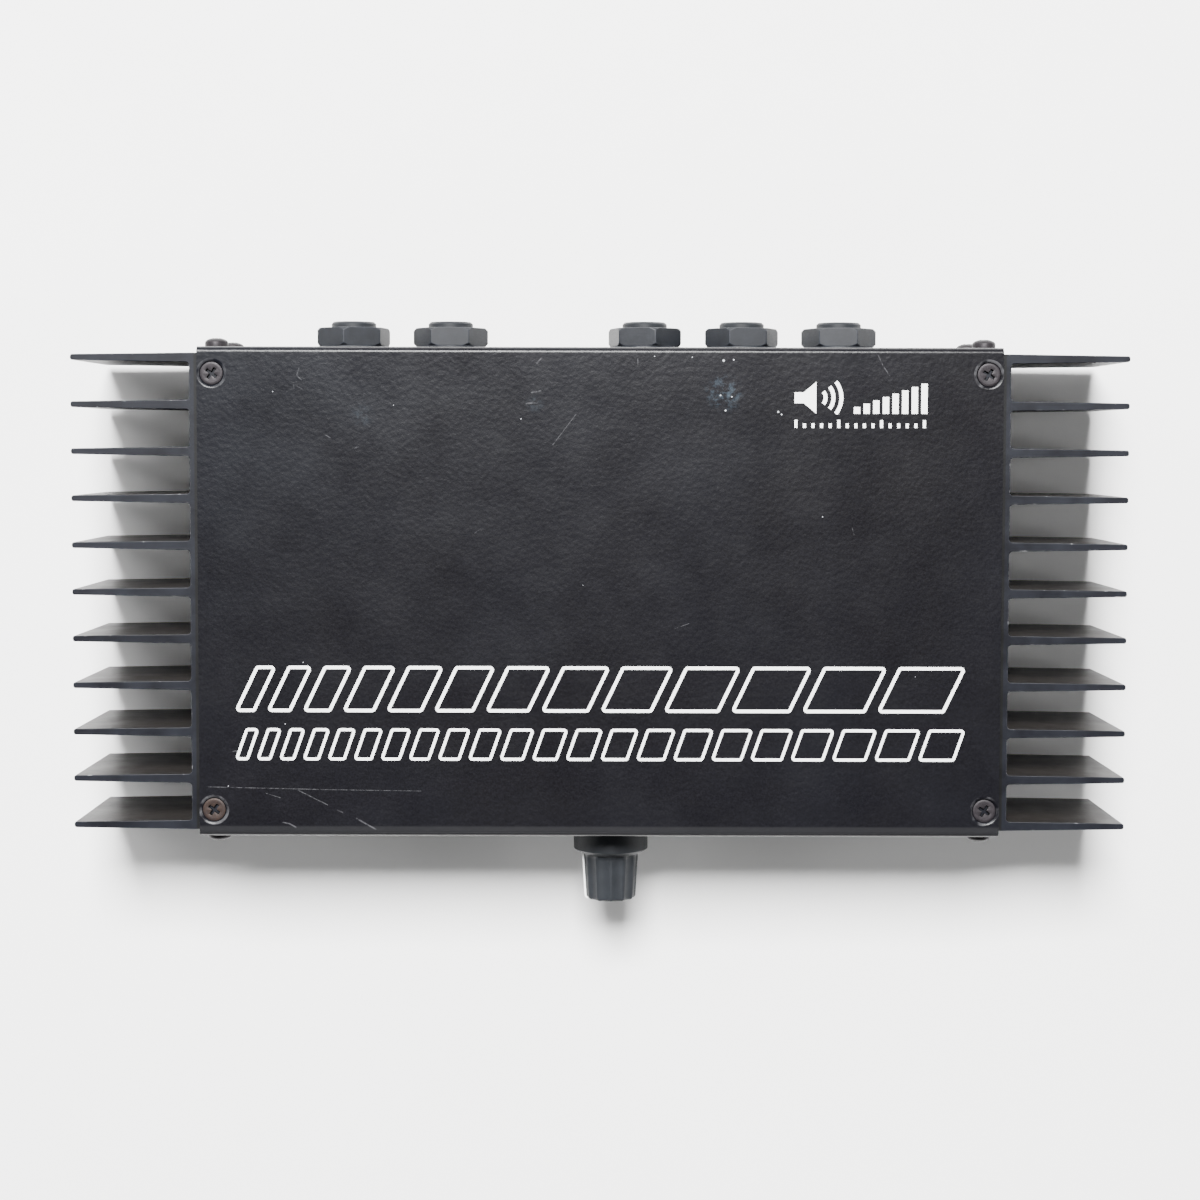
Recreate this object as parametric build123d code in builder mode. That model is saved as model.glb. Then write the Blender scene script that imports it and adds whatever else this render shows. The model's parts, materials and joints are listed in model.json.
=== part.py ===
from build123d import *
from math import atan, degrees
import os

# Compact stereo power amplifier: a folded cover between two finned heatsinks. Five jack
# sockets and a power inlet are on the back, a volume knob on the front.
# Millimetres. +Z is up, the knob faces -Y, and the origin is on the surface that the
# feet stand on, under the middle of the whole outline.

# ---------------------------------------------------------------- enclosure
overall_width = 254.0  # across the tips of the fins
heatsink_length = 115.0
heatsink_height = 38.1
base_thickness = 9.0
fin_count = 11
fin_depth = 28.5
fin_root_thickness = 2.2
fin_tip_thickness = 1.4
fin_tip_roundness = 0.45  # of the tip's thickness
fin_root_radius = 0.8
sheet_thickness = 1.2
bend_inside_radius = 0.3
cover_ledge = 2.0  # strip of heatsink that the cover leaves bare
plate_gap = 0.2
foot_height = 3.0
foot_radius = 6.0
foot_taper = 8.0
foot_inset_x = 14.0
foot_inset_y = 12.0

# ---------------------------------------------------------------- M3 screws
thread_radius = 1.5
thread_clearance = 0.05
screw_hole_radius = 1.7
hole_entry_radius = 2.3  # chamfered mouth of a tapped hole
hole_spare_depth = 0.5
countersunk_head_radius = 2.75
countersunk_head_edge = 0.15
countersunk_head_sink = 0.3  # how far the head lies below the sheet
countersunk_seat_clearance = 0.05
cover_screw_length = 5.0
cover_screw_inset_x = 3.5
cover_screw_inset_y = 6.45
cover_screw_turns = (38.0, 52.0, 33.0, 47.0)  # each recess stops where it is tight
pan_head_radius = 2.8
pan_head_height = 2.3
pan_head_wall = 1.1  # height of the head's straight side
recess_width = 0.8
recess_length = 3.0
recess_depth = 1.3
recess_taper = 10.0
panel_screw_length = 9.5
panel_screw_inset_x = 3.5
panel_screw_inset_z = 7.0

# ---------------------------------------------------------------- jacks
jack_row = ("left_output", "right_output", "inlet", "left_input", "right_input", "link")
jack_pitch = 24.0
jack_row_offset = -1.0
jack_nut_turns = (20.0, 2.0, -14.0, 8.0, -6.0)  # each nut stops where it is tight
jack_bore_radius = 3.25
jack_bore_length = 15.3
jack_chamber_relief = 0.2
jack_chamber_length = 16.0
jack_bushing_radius = 5.5
jack_bushing_lip = 0.5
jack_stand_out = 6.8
jack_housing_width = 18.0
jack_housing_depth = 26.0
jack_housing_top = 10.5  # above the bore's axis
jack_edge_radius = 0.8
jack_nut_wall = 2.5
jack_nut_thickness = 4.5
jack_nut_corner = 0.7  # how far the chamfer takes in a corner
jack_washer_margin = 0.6  # beyond the nut's flats
jack_washer_thickness = 0.8
thread_fit = 0.1  # nut on bushing, radial
panel_hole_gap = 0.15  # hole in a panel round a bushing, radial
contact_thickness = 0.4
contact_width = 3.0
contact_slot_gap = 0.4
contact_rest_gap = 1.5  # leaf, outside the chamber's wall
contact_bump_reach = 0.35  # its bend, into the plug's path
contact_bump_run = 2.0
contact_leg_run = 1.2  # from the leg to the start of the bend
contact_pin_size = 0.8
sleeve_contact_start = 1.7  # past the start of the chamber
tip_contact_bump = 20.0  # behind the panel
tip_contact_leg = 0.7  # outside the housing

# ---------------------------------------------------------------- power inlet
inlet_axis_above_board = 6.5
inlet_width = 9.0
inlet_depth = 14.0
inlet_top = 4.5  # above the socket's axis
inlet_collar_radius = 4.0
inlet_socket_radius = 2.85
inlet_socket_depth = 10.0
inlet_pin_radius = 1.0
inlet_pin_setback = 0.6
inlet_contact_start = 4.0
inlet_contact_length = 4.0

# ---------------------------------------------------------------- knob and potentiometer
knob_x = 2.9
knob_length = 18.0
knob_panel_gap = 0.8
knob_skirt_radius = 9.25
knob_skirt_rim = 6.3  # front edge of the skirt, from the panel
knob_skirt_wall = 1.45
knob_body_start = 7.5
knob_body_radius = 6.85
knob_end_radius = 6.2
knob_end_edge = 0.8
knob_recess_spare = 0.6
knob_bore_spare = 0.3
flute_count = 12
flute_radius = 2.6
flute_depth = 0.4
pointer_width = 1.0
pointer_depth = 0.8
pointer_front_length = 2.6
pointer_stand_out = 0.3
shaft_radius = 3.0
shaft_flat_depth = 1.5
shaft_flat_spare = 0.5  # flat showing below the knob's bore
shaft_stand_out = 16.2
shaft_running_clearance = 0.05
shaft_stub_radius = 2.0
knob_shaft_clearance = 0.02
bushing_radius = 4.5
bushing_stand_out = 4.5
pot_radius = 8.25
pot_flange_thickness = 1.2
pot_track_thickness = 1.2
pot_can_depth = 6.0
pot_can_wall = 0.5
pot_tongue_width = 12.6
pot_tongue_lift = 2.0  # above the board
pot_nut_wall = 1.0
pot_nut_thickness = 2.0
pot_nut_corner = 0.4
pot_washer_margin = 0.9  # beyond the nut's flats
pot_washer_thickness = 0.5
wiper_radius = 6.5
wiper_thickness = 1.0
wiper_gap = 0.3
terminal_count = 3
terminal_size = 0.8
terminal_pitch = 5.0
terminal_lap = 2.0  # on the tongue

# ---------------------------------------------------------------- power indicator
led_x = 24.0
led_axis_above_board = 6.0
led_radius = 1.5
led_dome_roundness = 0.95  # of the lens's radius
led_length = 5.2
led_stand_out = 0.2
led_flange_radius = 1.9
led_flange_length = 1.0
led_leg_size = 0.5
led_leg_pitch = 2.54
led_leg_bend = 3.5  # behind the flange
led_holder_width = 6.0
led_holder_depth = 5.5
led_holder_top = 2.5  # above the axis

# ---------------------------------------------------------------- circuit board
board_thickness = 1.6
board_gap = 1.0  # to the heatsinks and panels
spacer_height = 5.0
spacer_radius = 3.0
spacer_inset_x = 14.5
spacer_inset_y = 32.5
spacer_screw_length = 3.5
lead_hole_gap = 0.2
lead_below_board = 1.5
lead_radius = 0.4

# ---------------------------------------------------------------- power chips
chip_count = 2  # on each heatsink, with a clamp screw beside each and between them
chip_width = 20.0
chip_body_height = 10.7
chip_body_thickness = 4.5
chip_tab_height = 17.6
chip_tab_thickness = 1.6
chip_lift = 4.0  # above the board
chip_spacing = 40.0
chip_lead_count = 7
chip_lead_pitch = 2.54
chip_lead_size = 0.6
thermal_pad_thickness = 0.5
thermal_pad_margin = 1.0
clamp_bar_thickness = 5.0
clamp_bar_height = 9.0
clamp_bar_end = 7.0  # beyond the outer screws
clamp_screw_depth = 6.0  # in the heatsink

# ---------------------------------------------------------------- parts on the board
capacitor_radius = 8.0
capacitor_height = 25.0
capacitor_spacing = 19.0
capacitor_edge_radius = 0.8
capacitor_lead_pitch = 7.5
core_outer_radius = 11.0
core_inner_radius = 5.5
core_height = 7.0
core_edge_radius = 0.6
core_place_x = 48.0
winding_turns = 16
winding_wire = 1.0
winding_gap = 0.1
film_cap_length = 13.0
film_cap_width = 5.0
film_cap_height = 11.0
film_cap_lead_pitch = 10.0
film_cap_place_x = 66.5
film_cap_spacing = 20.0
resistor_radius = 1.2
resistor_length = 6.4
resistor_lead_pitch = 10.16
resistor_columns = 2
resistor_rows = 4
resistor_column_pitch = 25.0
resistor_spacing = 5.0
resistor_place_x = -37.5
resistor_row = 14.0  # from the front panel
small_part_lift = 0.5  # clear of the board
preamp_chip_length = 9.8
preamp_chip_width = 6.4
preamp_chip_height = 3.4
preamp_leads_in_row = 4
preamp_lead_pitch = 2.54
preamp_row_pitch = 7.62
preamp_place_x = 27.5
relay_length = 29.0
relay_width = 12.7
relay_height = 15.7
relay_edge_radius = 0.6
relay_lead_pitch_x = 20.0
relay_lead_pitch_y = 7.5
relay_place_x = 50.0
relay_row = 12.0  # from the front panel


def spread(count, pitch, middle=0.0):
    """Evenly pitched places on a line, about their middle."""
    return [middle + (place - (count - 1) / 2) * pitch for place in range(count)]


# ---------------------------------------------------------------- levels and faces
cover_width = overall_width - 2 * (fin_depth + cover_ledge)
body_depth = heatsink_length + 2 * (bend_inside_radius + sheet_thickness)
knob_stand_out = knob_panel_gap + knob_length
outline_depth = knob_stand_out + body_depth + jack_stand_out
front_face = knob_stand_out - outline_depth / 2
back_face = outline_depth / 2 - jack_stand_out
front_inner = front_face + sheet_thickness
back_inner = back_face - sheet_thickness
centre_y = (front_face + back_face) / 2
plate_bottom = foot_height
plate_top = plate_bottom + sheet_thickness
heatsink_top = plate_top + heatsink_height
cover_top = heatsink_top + sheet_thickness
base_outer = overall_width / 2 - fin_depth
base_inner = base_outer - base_thickness
board_bottom = plate_top + spacer_height
board_top = board_bottom + board_thickness
lead_end = board_bottom - lead_below_board
axis_height = plate_top + heatsink_height / 2  # of the knob and the jacks
inlet_axis = board_top + inlet_axis_above_board
led_axis = board_top + led_axis_above_board
row_places = spread(len(jack_row), jack_pitch, jack_row_offset)
inlet_x = row_places[jack_row.index("inlet")]
jack_places = [(name, x) for name, x in zip(jack_row, row_places) if name != "inlet"]
pot_depth = pot_flange_thickness + pot_track_thickness + pot_can_depth
middle_y = (back_inner - jack_housing_depth + front_inner + pot_depth) / 2
sides = (("left", -1), ("right", 1))
lead_spots = []  # x, y and radius of every hole that a lead needs in the board

os.makedirs("parts", exist_ok=True)


def upright(y):
    """The upright plane at y, its normal towards the front."""
    return Plane.XZ.offset(-y)


def save(builder, name):
    """Label a finished piece and write it."""
    builder.part.label = name
    export_step(builder.part, f"parts/{name}.step")


def cut_recess(height):
    """Cut a cross recess into the part being built, down from the given height."""
    with BuildSketch(Plane.XY.offset(height)) as recess:
        Rectangle(recess_length, recess_width)
        Rectangle(recess_width, recess_length)
    extrude(recess.sketch, amount=-recess_depth, taper=recess_taper, mode=Mode.SUBTRACT)


def countersunk_screw(length):
    """A countersunk cross-head screw: the head's top at the origin, the tip below."""
    cone_end = countersunk_head_edge + countersunk_head_radius - thread_radius
    with BuildPart() as screw:
        with BuildSketch(Plane.XZ):
            with BuildLine():
                Polyline(
                    (0, 0),
                    (countersunk_head_radius, 0),
                    (countersunk_head_radius, -countersunk_head_edge),
                    (thread_radius, -cone_end),
                    (thread_radius, -length),
                    (0, -length),
                    close=True,
                )
            make_face()
        revolve(axis=Axis.Z)
        cut_recess(0)
    return screw.part


def pan_screw(length):
    """A domed cross-head screw: the underside of its head at the origin, the tip below."""
    dome_height = pan_head_height - pan_head_wall
    with BuildPart() as screw:
        with BuildSketch(Plane.XZ):
            with BuildLine():
                EllipticalCenterArc((0, pan_head_wall), pan_head_radius, dome_height, arc_size=90)
                Polyline(
                    (0, pan_head_height),
                    (0, -length),
                    (thread_radius, -length),
                    (thread_radius, 0),
                    (pan_head_radius, 0),
                    (pan_head_radius, pan_head_wall),
                )
            make_face()
        revolve(axis=Axis.Z)
        cut_recess(pan_head_height)
    return screw.part


def hex_nut(width, thickness, hole_radius, corner):
    """A hexagonal nut standing on the XY plane, a flat facing X, chamfered on both faces."""
    corner_radius = width / 3**0.5
    flat_first = 180 / 6  # degrees, half the turn from corner to corner
    with BuildPart() as nut:
        with BuildSketch():
            RegularPolygon(radius=width / 2, side_count=6, major_radius=False, rotation=flat_first)
        extrude(amount=thickness)
        with BuildSketch(Plane.XZ):
            with BuildLine():
                Polyline(
                    (0, 0),
                    (corner_radius - corner, 0),
                    (corner_radius, corner),
                    (corner_radius, thickness - corner),
                    (corner_radius - corner, thickness),
                    (0, thickness),
                    close=True,
                )
            make_face()
        revolve(axis=Axis.Z, mode=Mode.INTERSECT)
        with BuildSketch():
            Circle(hole_radius)
        extrude(amount=thickness, mode=Mode.SUBTRACT)
    return nut.part


def facing(direction, x, y, z, turn=0.0):
    """A place whose up direction is the given one, turned about it."""
    return Location(Plane(origin=(x, y, z), z_dir=direction)) * Location((0, 0, 0), (0, 0, turn))


def add_leads(spots, top, half_size, square=False):
    """Add leads from a height down through the board, and note the holes they need."""
    with BuildSketch(Plane.XY.offset(lead_end)) as ends:
        with Locations(*spots):
            if square:
                Rectangle(2 * half_size, 2 * half_size)
            else:
                Circle(half_size)
    extrude(ends.sketch, amount=top - lead_end)
    reach = half_size * 2**0.5 if square else half_size
    lead_spots.extend((x, y, reach + lead_hole_gap) for x, y in spots)


# ================================================================ shared places
screw_x = cover_width / 2 - cover_screw_inset_x
screw_y = body_depth / 2 - cover_screw_inset_y
cover_screw_places = [(i * screw_x, centre_y + j * screw_y) for i in (-1, 1) for j in (-1, 1)]
panel_screw_x = cover_width / 2 - panel_screw_inset_x
panel_screw_levels = (plate_top + panel_screw_inset_z, heatsink_top - panel_screw_inset_z)
panel_screw_places = [(i * panel_screw_x, level) for i in (-1, 1) for level in panel_screw_levels]
clamp_level = board_top + chip_lift + chip_body_height / 2
clamp_rows = spread(chip_count + 1, chip_spacing, centre_y)
chip_face = base_inner - thermal_pad_thickness
clamp_inner = chip_face - chip_body_thickness - clamp_bar_thickness
cone_spread = countersunk_head_edge + countersunk_seat_clearance
countersink_radius = countersunk_head_radius + countersunk_head_sink + cone_spread
cover_hole_depth = cover_screw_length + countersunk_head_sink - sheet_thickness + hole_spare_depth
panel_hole_depth = panel_screw_length - sheet_thickness + hole_spare_depth
tapped_radius = thread_radius + thread_clearance

# ================================================================ heatsinks
fin_pitch = (heatsink_length - fin_root_thickness) / (fin_count - 1)
fin_angle = 90 - degrees(atan((fin_root_thickness - fin_tip_thickness) / 2 / fin_depth))

with BuildPart() as right_heatsink:
    with BuildSketch(Plane.XY.offset(plate_top)):
        with Locations(((base_inner + base_outer) / 2, centre_y)):
            Rectangle(base_thickness, heatsink_length)
        with Locations((base_outer, centre_y)):
            with GridLocations(0, fin_pitch, 1, fin_count):
                Trapezoid(
                    fin_root_thickness,
                    fin_depth,
                    fin_angle,
                    rotation=-90,
                    align=(Align.CENTER, Align.MIN),
                )
        fillet(vertices().group_by(Axis.X)[-1], radius=fin_tip_roundness * fin_tip_thickness)
        inner_roots = vertices().filter_by(
            lambda v: abs(v.X - base_outer) < fin_root_radius
            and abs(v.Y - centre_y) < heatsink_length / 2 - fin_root_radius
        )
        fillet(inner_roots, radius=fin_root_radius)
    extrude(amount=heatsink_height)
    right_places = [(x, y) for x, y in cover_screw_places if x > 0]
    with Locations(*[facing((0, 0, 1), x, y, heatsink_top) for x, y in right_places]):
        CounterSinkHole(tapped_radius, hole_entry_radius, depth=cover_hole_depth)
    with Locations(*[facing((0, 0, -1), x, y, plate_top) for x, y in right_places]):
        CounterSinkHole(tapped_radius, hole_entry_radius, depth=cover_hole_depth)
    for end in (-1, 1):
        end_y = centre_y + end * heatsink_length / 2
        end_places = [facing((0, end, 0), panel_screw_x, end_y, level) for level in panel_screw_levels]
        with Locations(*end_places):
            Hole(tapped_radius, depth=panel_hole_depth)
    with Locations(*[facing((-1, 0, 0), base_inner, y, clamp_level) for y in clamp_rows]):
        Hole(tapped_radius, depth=clamp_screw_depth + hole_spare_depth)
save(right_heatsink, "right_heatsink")

with BuildPart() as left_heatsink:
    mirror(right_heatsink.part, about=Plane.YZ)
save(left_heatsink, "left_heatsink")

# ================================================================ cover and bottom plate
with BuildPart() as top_cover:
    with BuildSketch(Plane.YZ.offset(-cover_width / 2)):
        with Locations((centre_y, cover_top)):
            Rectangle(body_depth, cover_top - plate_bottom, align=(Align.CENTER, Align.MAX))
        fillet(vertices().group_by(Axis.Y)[-1], radius=bend_inside_radius + sheet_thickness)
        with Locations((centre_y, heatsink_top)):
            Rectangle(
                body_depth - 2 * sheet_thickness,
                cover_top - plate_bottom,
                align=(Align.CENTER, Align.MAX),
                mode=Mode.SUBTRACT,
            )
        inside_corners = vertices().filter_by(
            lambda v: abs(v.Y - heatsink_top) < bend_inside_radius
            and abs(v.X - centre_y) < body_depth / 2 - bend_inside_radius
        )
        fillet(inside_corners, radius=bend_inside_radius)
    extrude(amount=cover_width)
    with Locations(*[facing((0, 0, 1), x, y, cover_top) for x, y in cover_screw_places]):
        CounterSinkHole(screw_hole_radius, countersink_radius, depth=2 * sheet_thickness)
    with BuildSketch(upright(back_face)):
        with Locations(*panel_screw_places):
            Circle(screw_hole_radius)
        with Locations(*[(x, axis_height) for name, x in jack_places]):
            Circle(jack_bushing_radius + panel_hole_gap)
        with Locations((inlet_x, inlet_axis)):
            Circle(inlet_collar_radius + panel_hole_gap)
    extrude(amount=sheet_thickness, mode=Mode.SUBTRACT)
    with BuildSketch(upright(front_inner)):
        with Locations(*panel_screw_places):
            Circle(screw_hole_radius)
        with Locations((knob_x, axis_height)):
            Circle(bushing_radius + panel_hole_gap)
        with Locations((led_x, led_axis)):
            Circle(led_radius + panel_hole_gap)
    extrude(amount=sheet_thickness, mode=Mode.SUBTRACT)
save(top_cover, "top_cover")

spacer_x = base_inner - board_gap - spacer_inset_x
spacer_y = body_depth / 2 - sheet_thickness - board_gap - spacer_inset_y
spacer_places = [(i * spacer_x, centre_y + j * spacer_y) for i in (-1, 1) for j in (-1, 1)]
plate_length = body_depth - 2 * (sheet_thickness + plate_gap)

with BuildPart() as bottom_plate:
    with BuildSketch(Plane.XY.offset(plate_bottom)):
        with Locations((0, centre_y)):
            Rectangle(cover_width, plate_length)
        with Locations(*spacer_places):
            Circle(screw_hole_radius, mode=Mode.SUBTRACT)
    extrude(amount=sheet_thickness)
    with Locations(*[facing((0, 0, -1), x, y, plate_bottom) for x, y in cover_screw_places]):
        CounterSinkHole(screw_hole_radius, countersink_radius, depth=2 * sheet_thickness)
save(bottom_plate, "bottom_plate")

foot_x = cover_width / 2 - foot_inset_x
foot_y = plate_length / 2 - foot_inset_y
with BuildPart() as rubber_feet:
    with BuildSketch(Plane.XY.offset(plate_bottom)):
        with Locations(*[(i * foot_x, centre_y + j * foot_y) for i in (-1, 1) for j in (-1, 1)]):
            Circle(foot_radius)
    extrude(amount=-foot_height, taper=foot_taper)
save(rubber_feet, "rubber_feet")

# ================================================================ case screws
cover_screw = countersunk_screw(cover_screw_length)
panel_screw = pan_screw(panel_screw_length)

with BuildPart() as top_screws:
    with Locations(
        *[
            facing((0, 0, 1), x, y, cover_top - countersunk_head_sink, turn)
            for (x, y), turn in zip(cover_screw_places, cover_screw_turns)
        ]
    ):
        add(cover_screw)
save(top_screws, "top_screws")

with BuildPart() as bottom_screws:
    with Locations(
        *[facing((0, 0, -1), x, y, plate_bottom + countersunk_head_sink) for x, y in cover_screw_places]
    ):
        add(cover_screw)
save(bottom_screws, "bottom_screws")

with BuildPart() as front_panel_screws:
    with Locations(*[facing((0, -1, 0), x, front_face, z) for x, z in panel_screw_places]):
        add(panel_screw)
save(front_panel_screws, "front_panel_screws")

with BuildPart() as back_panel_screws:
    with Locations(*[facing((0, 1, 0), x, back_face, z) for x, z in panel_screw_places]):
        add(panel_screw)
save(back_panel_screws, "back_panel_screws")

# ================================================================ jacks
chamber_start = jack_bore_length - jack_stand_out - sheet_thickness  # behind the panel
chamber_radius = jack_bore_radius + jack_chamber_relief
contact_rest = chamber_radius + contact_rest_gap
contact_bump = jack_bore_radius - contact_bump_reach
contact_slot_width = contact_width + 2 * contact_slot_gap
contact_slot_reach = contact_rest + contact_thickness + contact_slot_gap
sleeve_leg_y = back_inner - chamber_start - sleeve_contact_start
tip_leg_y = back_inner - jack_housing_depth - tip_contact_leg
leg_end = board_top + contact_pin_size

for name, x in jack_places:
    with BuildPart() as jack:
        with BuildSketch(upright(back_inner)):
            with Locations((x, board_top)):
                Rectangle(
                    jack_housing_width,
                    axis_height + jack_housing_top - board_top,
                    align=(Align.CENTER, Align.MIN),
                )
            fillet(vertices(), radius=jack_edge_radius)
        extrude(amount=jack_housing_depth)
        with BuildSketch(upright(back_inner)):
            with Locations((x, axis_height)):
                Circle(jack_bushing_radius)
        extrude(amount=-(sheet_thickness + jack_stand_out))
        chamfer(edges().group_by(Axis.Y)[-1], length=jack_bushing_lip)
        with BuildSketch(upright(back_face + jack_stand_out)):
            with Locations((x, axis_height)):
                Circle(jack_bore_radius)
        extrude(amount=jack_bore_length, mode=Mode.SUBTRACT)
        with BuildSketch(upright(back_inner - chamber_start)):
            with Locations((x, axis_height)):
                Circle(chamber_radius)
        extrude(amount=jack_chamber_length, mode=Mode.SUBTRACT)
        # slot for the sleeve contact, open through the floor
        with BuildSketch(upright(back_inner - chamber_start)):
            with Locations((x, axis_height)):
                Rectangle(
                    contact_slot_width,
                    axis_height - board_top,
                    align=(Align.CENTER, Align.MAX),
                )
        extrude(amount=jack_chamber_length / 2, mode=Mode.SUBTRACT)
        # slot for the tip contact, open at the inner end
        with BuildSketch(upright(back_inner - jack_housing_depth)):
            with Locations((x, axis_height)):
                Rectangle(contact_slot_width, contact_slot_reach, align=(Align.CENTER, Align.MIN))
        tip_slot_depth = jack_housing_depth - chamber_start - jack_chamber_length / 2
        extrude(amount=-tip_slot_depth, mode=Mode.SUBTRACT)
    save(jack, f"{name}_jack")

    with BuildPart() as contacts:
        with BuildSketch(Plane.YZ.offset(x - contact_width / 2)):
            bend_start = sleeve_leg_y - contact_leg_run
            with BuildLine() as sleeve_leaf:
                Polyline(
                    (sleeve_leg_y, leg_end),
                    (sleeve_leg_y, axis_height - contact_rest),
                    (bend_start, axis_height - contact_rest),
                    (bend_start - contact_bump_run / 2, axis_height - contact_bump),
                    (bend_start - contact_bump_run, axis_height - contact_rest),
                )
            trace(line_width=contact_thickness)
            bump_y = back_inner - tip_contact_bump
            with BuildLine() as tip_leaf:
                Polyline(
                    (tip_leg_y, leg_end),
                    (tip_leg_y, axis_height + contact_rest),
                    (bump_y - contact_bump_run / 2, axis_height + contact_rest),
                    (bump_y, axis_height + contact_bump),
                    (bump_y + contact_bump_run / 2, axis_height + contact_rest),
                )
            trace(line_width=contact_thickness)
        extrude(amount=contact_width)
        legs = [(x, sleeve_leg_y), (x, tip_leg_y)]
        add_leads(legs, leg_end + contact_pin_size, contact_pin_size / 2, square=True)
    save(contacts, f"{name}_contacts")

jack_nut_width = 2 * (jack_bushing_radius + jack_nut_wall)
nut_face = back_face + jack_washer_thickness
jack_nut = hex_nut(jack_nut_width, jack_nut_thickness, jack_bushing_radius + thread_fit, jack_nut_corner)

with BuildPart() as jack_nuts:
    with Locations(
        *[
            facing((0, 1, 0), x, nut_face, axis_height, turn)
            for (name, x), turn in zip(jack_places, jack_nut_turns)
        ]
    ):
        add(jack_nut)
save(jack_nuts, "jack_nuts")

with BuildPart() as jack_washers:
    with BuildSketch(upright(back_face)):
        with Locations(*[(x, axis_height) for name, x in jack_places]):
            Circle(jack_nut_width / 2 + jack_washer_margin)
            Circle(jack_bushing_radius + thread_fit, mode=Mode.SUBTRACT)
    extrude(amount=-jack_washer_thickness)
save(jack_washers, "jack_washers")

# ================================================================ power inlet
inlet_rear = back_inner - inlet_depth
inlet_leg_y = inlet_rear - tip_contact_leg
inlet_contact_z = inlet_axis - inlet_socket_radius - contact_thickness
inlet_contact_y = back_inner - inlet_contact_start

with BuildPart() as dc_inlet:
    with BuildSketch(upright(back_inner)):
        with Locations((inlet_x, board_top)):
            Rectangle(inlet_width, inlet_axis + inlet_top - board_top, align=(Align.CENTER, Align.MIN))
    extrude(amount=inlet_depth)
    with BuildSketch(upright(back_inner)):
        with Locations((inlet_x, inlet_axis)):
            Circle(inlet_collar_radius)
    extrude(amount=-sheet_thickness)
    with BuildSketch(upright(back_face)):
        with Locations((inlet_x, inlet_axis)):
            Circle(inlet_socket_radius)
    extrude(amount=inlet_socket_depth, mode=Mode.SUBTRACT)
    with BuildSketch(upright(back_face)):
        with Locations((inlet_x, inlet_axis)):
            Circle(inlet_pin_radius)
    extrude(amount=sheet_thickness + inlet_depth, mode=Mode.SUBTRACT)
    # slot for the leaf contact, open through the floor
    with BuildSketch(upright(inlet_contact_y + contact_thickness)):
        with Locations((inlet_x, inlet_axis)):
            Rectangle(contact_slot_width, inlet_axis - board_top, align=(Align.CENTER, Align.MAX))
    extrude(amount=inlet_contact_length + 2 * contact_thickness, mode=Mode.SUBTRACT)
save(dc_inlet, "dc_inlet")

with BuildPart() as dc_inlet_pin:
    with BuildSketch(upright(back_face - inlet_pin_setback)):
        with Locations((inlet_x, inlet_axis)):
            Circle(inlet_pin_radius)
    extrude(amount=back_face - inlet_pin_setback - inlet_leg_y)
    add_leads([(inlet_x, inlet_leg_y)], inlet_axis, contact_pin_size / 2, square=True)
save(dc_inlet_pin, "dc_inlet_pin")

with BuildPart() as dc_inlet_contact:
    with BuildSketch(Plane.YZ.offset(inlet_x - contact_width / 2)):
        with BuildLine():
            Polyline(
                (inlet_contact_y, leg_end),
                (inlet_contact_y, inlet_contact_z),
                (inlet_contact_y - inlet_contact_length, inlet_contact_z),
            )
        trace(line_width=contact_thickness)
    extrude(amount=contact_width)
    add_leads([(inlet_x, inlet_contact_y)], leg_end + contact_pin_size, contact_pin_size / 2, square=True)
save(dc_inlet_contact, "dc_inlet_contact")

# ================================================================ potentiometer
pot_section = Plane(origin=(knob_x, front_face, axis_height), x_dir=(1, 0, 0), z_dir=(0, 0, -1))
pot_axis = Axis((knob_x, front_face, axis_height), (0, 1, 0))
flange_rear = front_inner + pot_flange_thickness
track_rear = flange_rear + pot_track_thickness
can_rear = track_rear + pot_can_depth
bushing_bore = shaft_radius + shaft_running_clearance
wiper_front = track_rear + wiper_gap
track_hole_radius = shaft_radius + wiper_gap
tongue_end = board_top + pot_tongue_lift
recess_bottom = bushing_stand_out + knob_recess_spare
shaft_flat_start = recess_bottom - shaft_flat_spare

with BuildPart() as pot_bushing:
    with BuildSketch(upright(flange_rear)):
        with Locations((knob_x, axis_height)):
            Circle(pot_radius)
    extrude(amount=pot_flange_thickness)
    with BuildSketch(upright(front_inner)):
        with Locations((knob_x, axis_height)):
            Circle(bushing_radius)
    extrude(amount=sheet_thickness + bushing_stand_out)
    with BuildSketch(upright(flange_rear)):
        with Locations((knob_x, axis_height)):
            Circle(bushing_bore)
    extrude(amount=pot_flange_thickness + sheet_thickness + bushing_stand_out, mode=Mode.SUBTRACT)
save(pot_bushing, "pot_bushing")

with BuildPart() as pot_track:
    with BuildSketch(upright(track_rear)):
        with Locations((knob_x, axis_height)):
            Circle(pot_radius)
            Rectangle(pot_tongue_width, axis_height - tongue_end, align=(Align.CENTER, Align.MAX))
            Circle(track_hole_radius, mode=Mode.SUBTRACT)
    extrude(amount=pot_track_thickness)
save(pot_track, "pot_track")

with BuildPart() as pot_housing:
    with BuildSketch(upright(can_rear)):
        with Locations((knob_x, axis_height)):
            Circle(pot_radius)
    extrude(amount=pot_can_depth)
    with BuildSketch(upright(can_rear - pot_can_wall)):
        with Locations((knob_x, axis_height)):
            Circle(pot_radius - pot_can_wall)
    extrude(amount=pot_can_depth - pot_can_wall, mode=Mode.SUBTRACT)
save(pot_housing, "pot_housing")

terminal_y = track_rear + terminal_size / 2
with BuildPart() as pot_terminals:
    add_leads(
        [(x, terminal_y) for x in spread(terminal_count, terminal_pitch, knob_x)],
        min(tongue_end + terminal_lap, axis_height - pot_radius),
        terminal_size / 2,
        square=True,
    )
save(pot_terminals, "pot_terminals")

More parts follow.
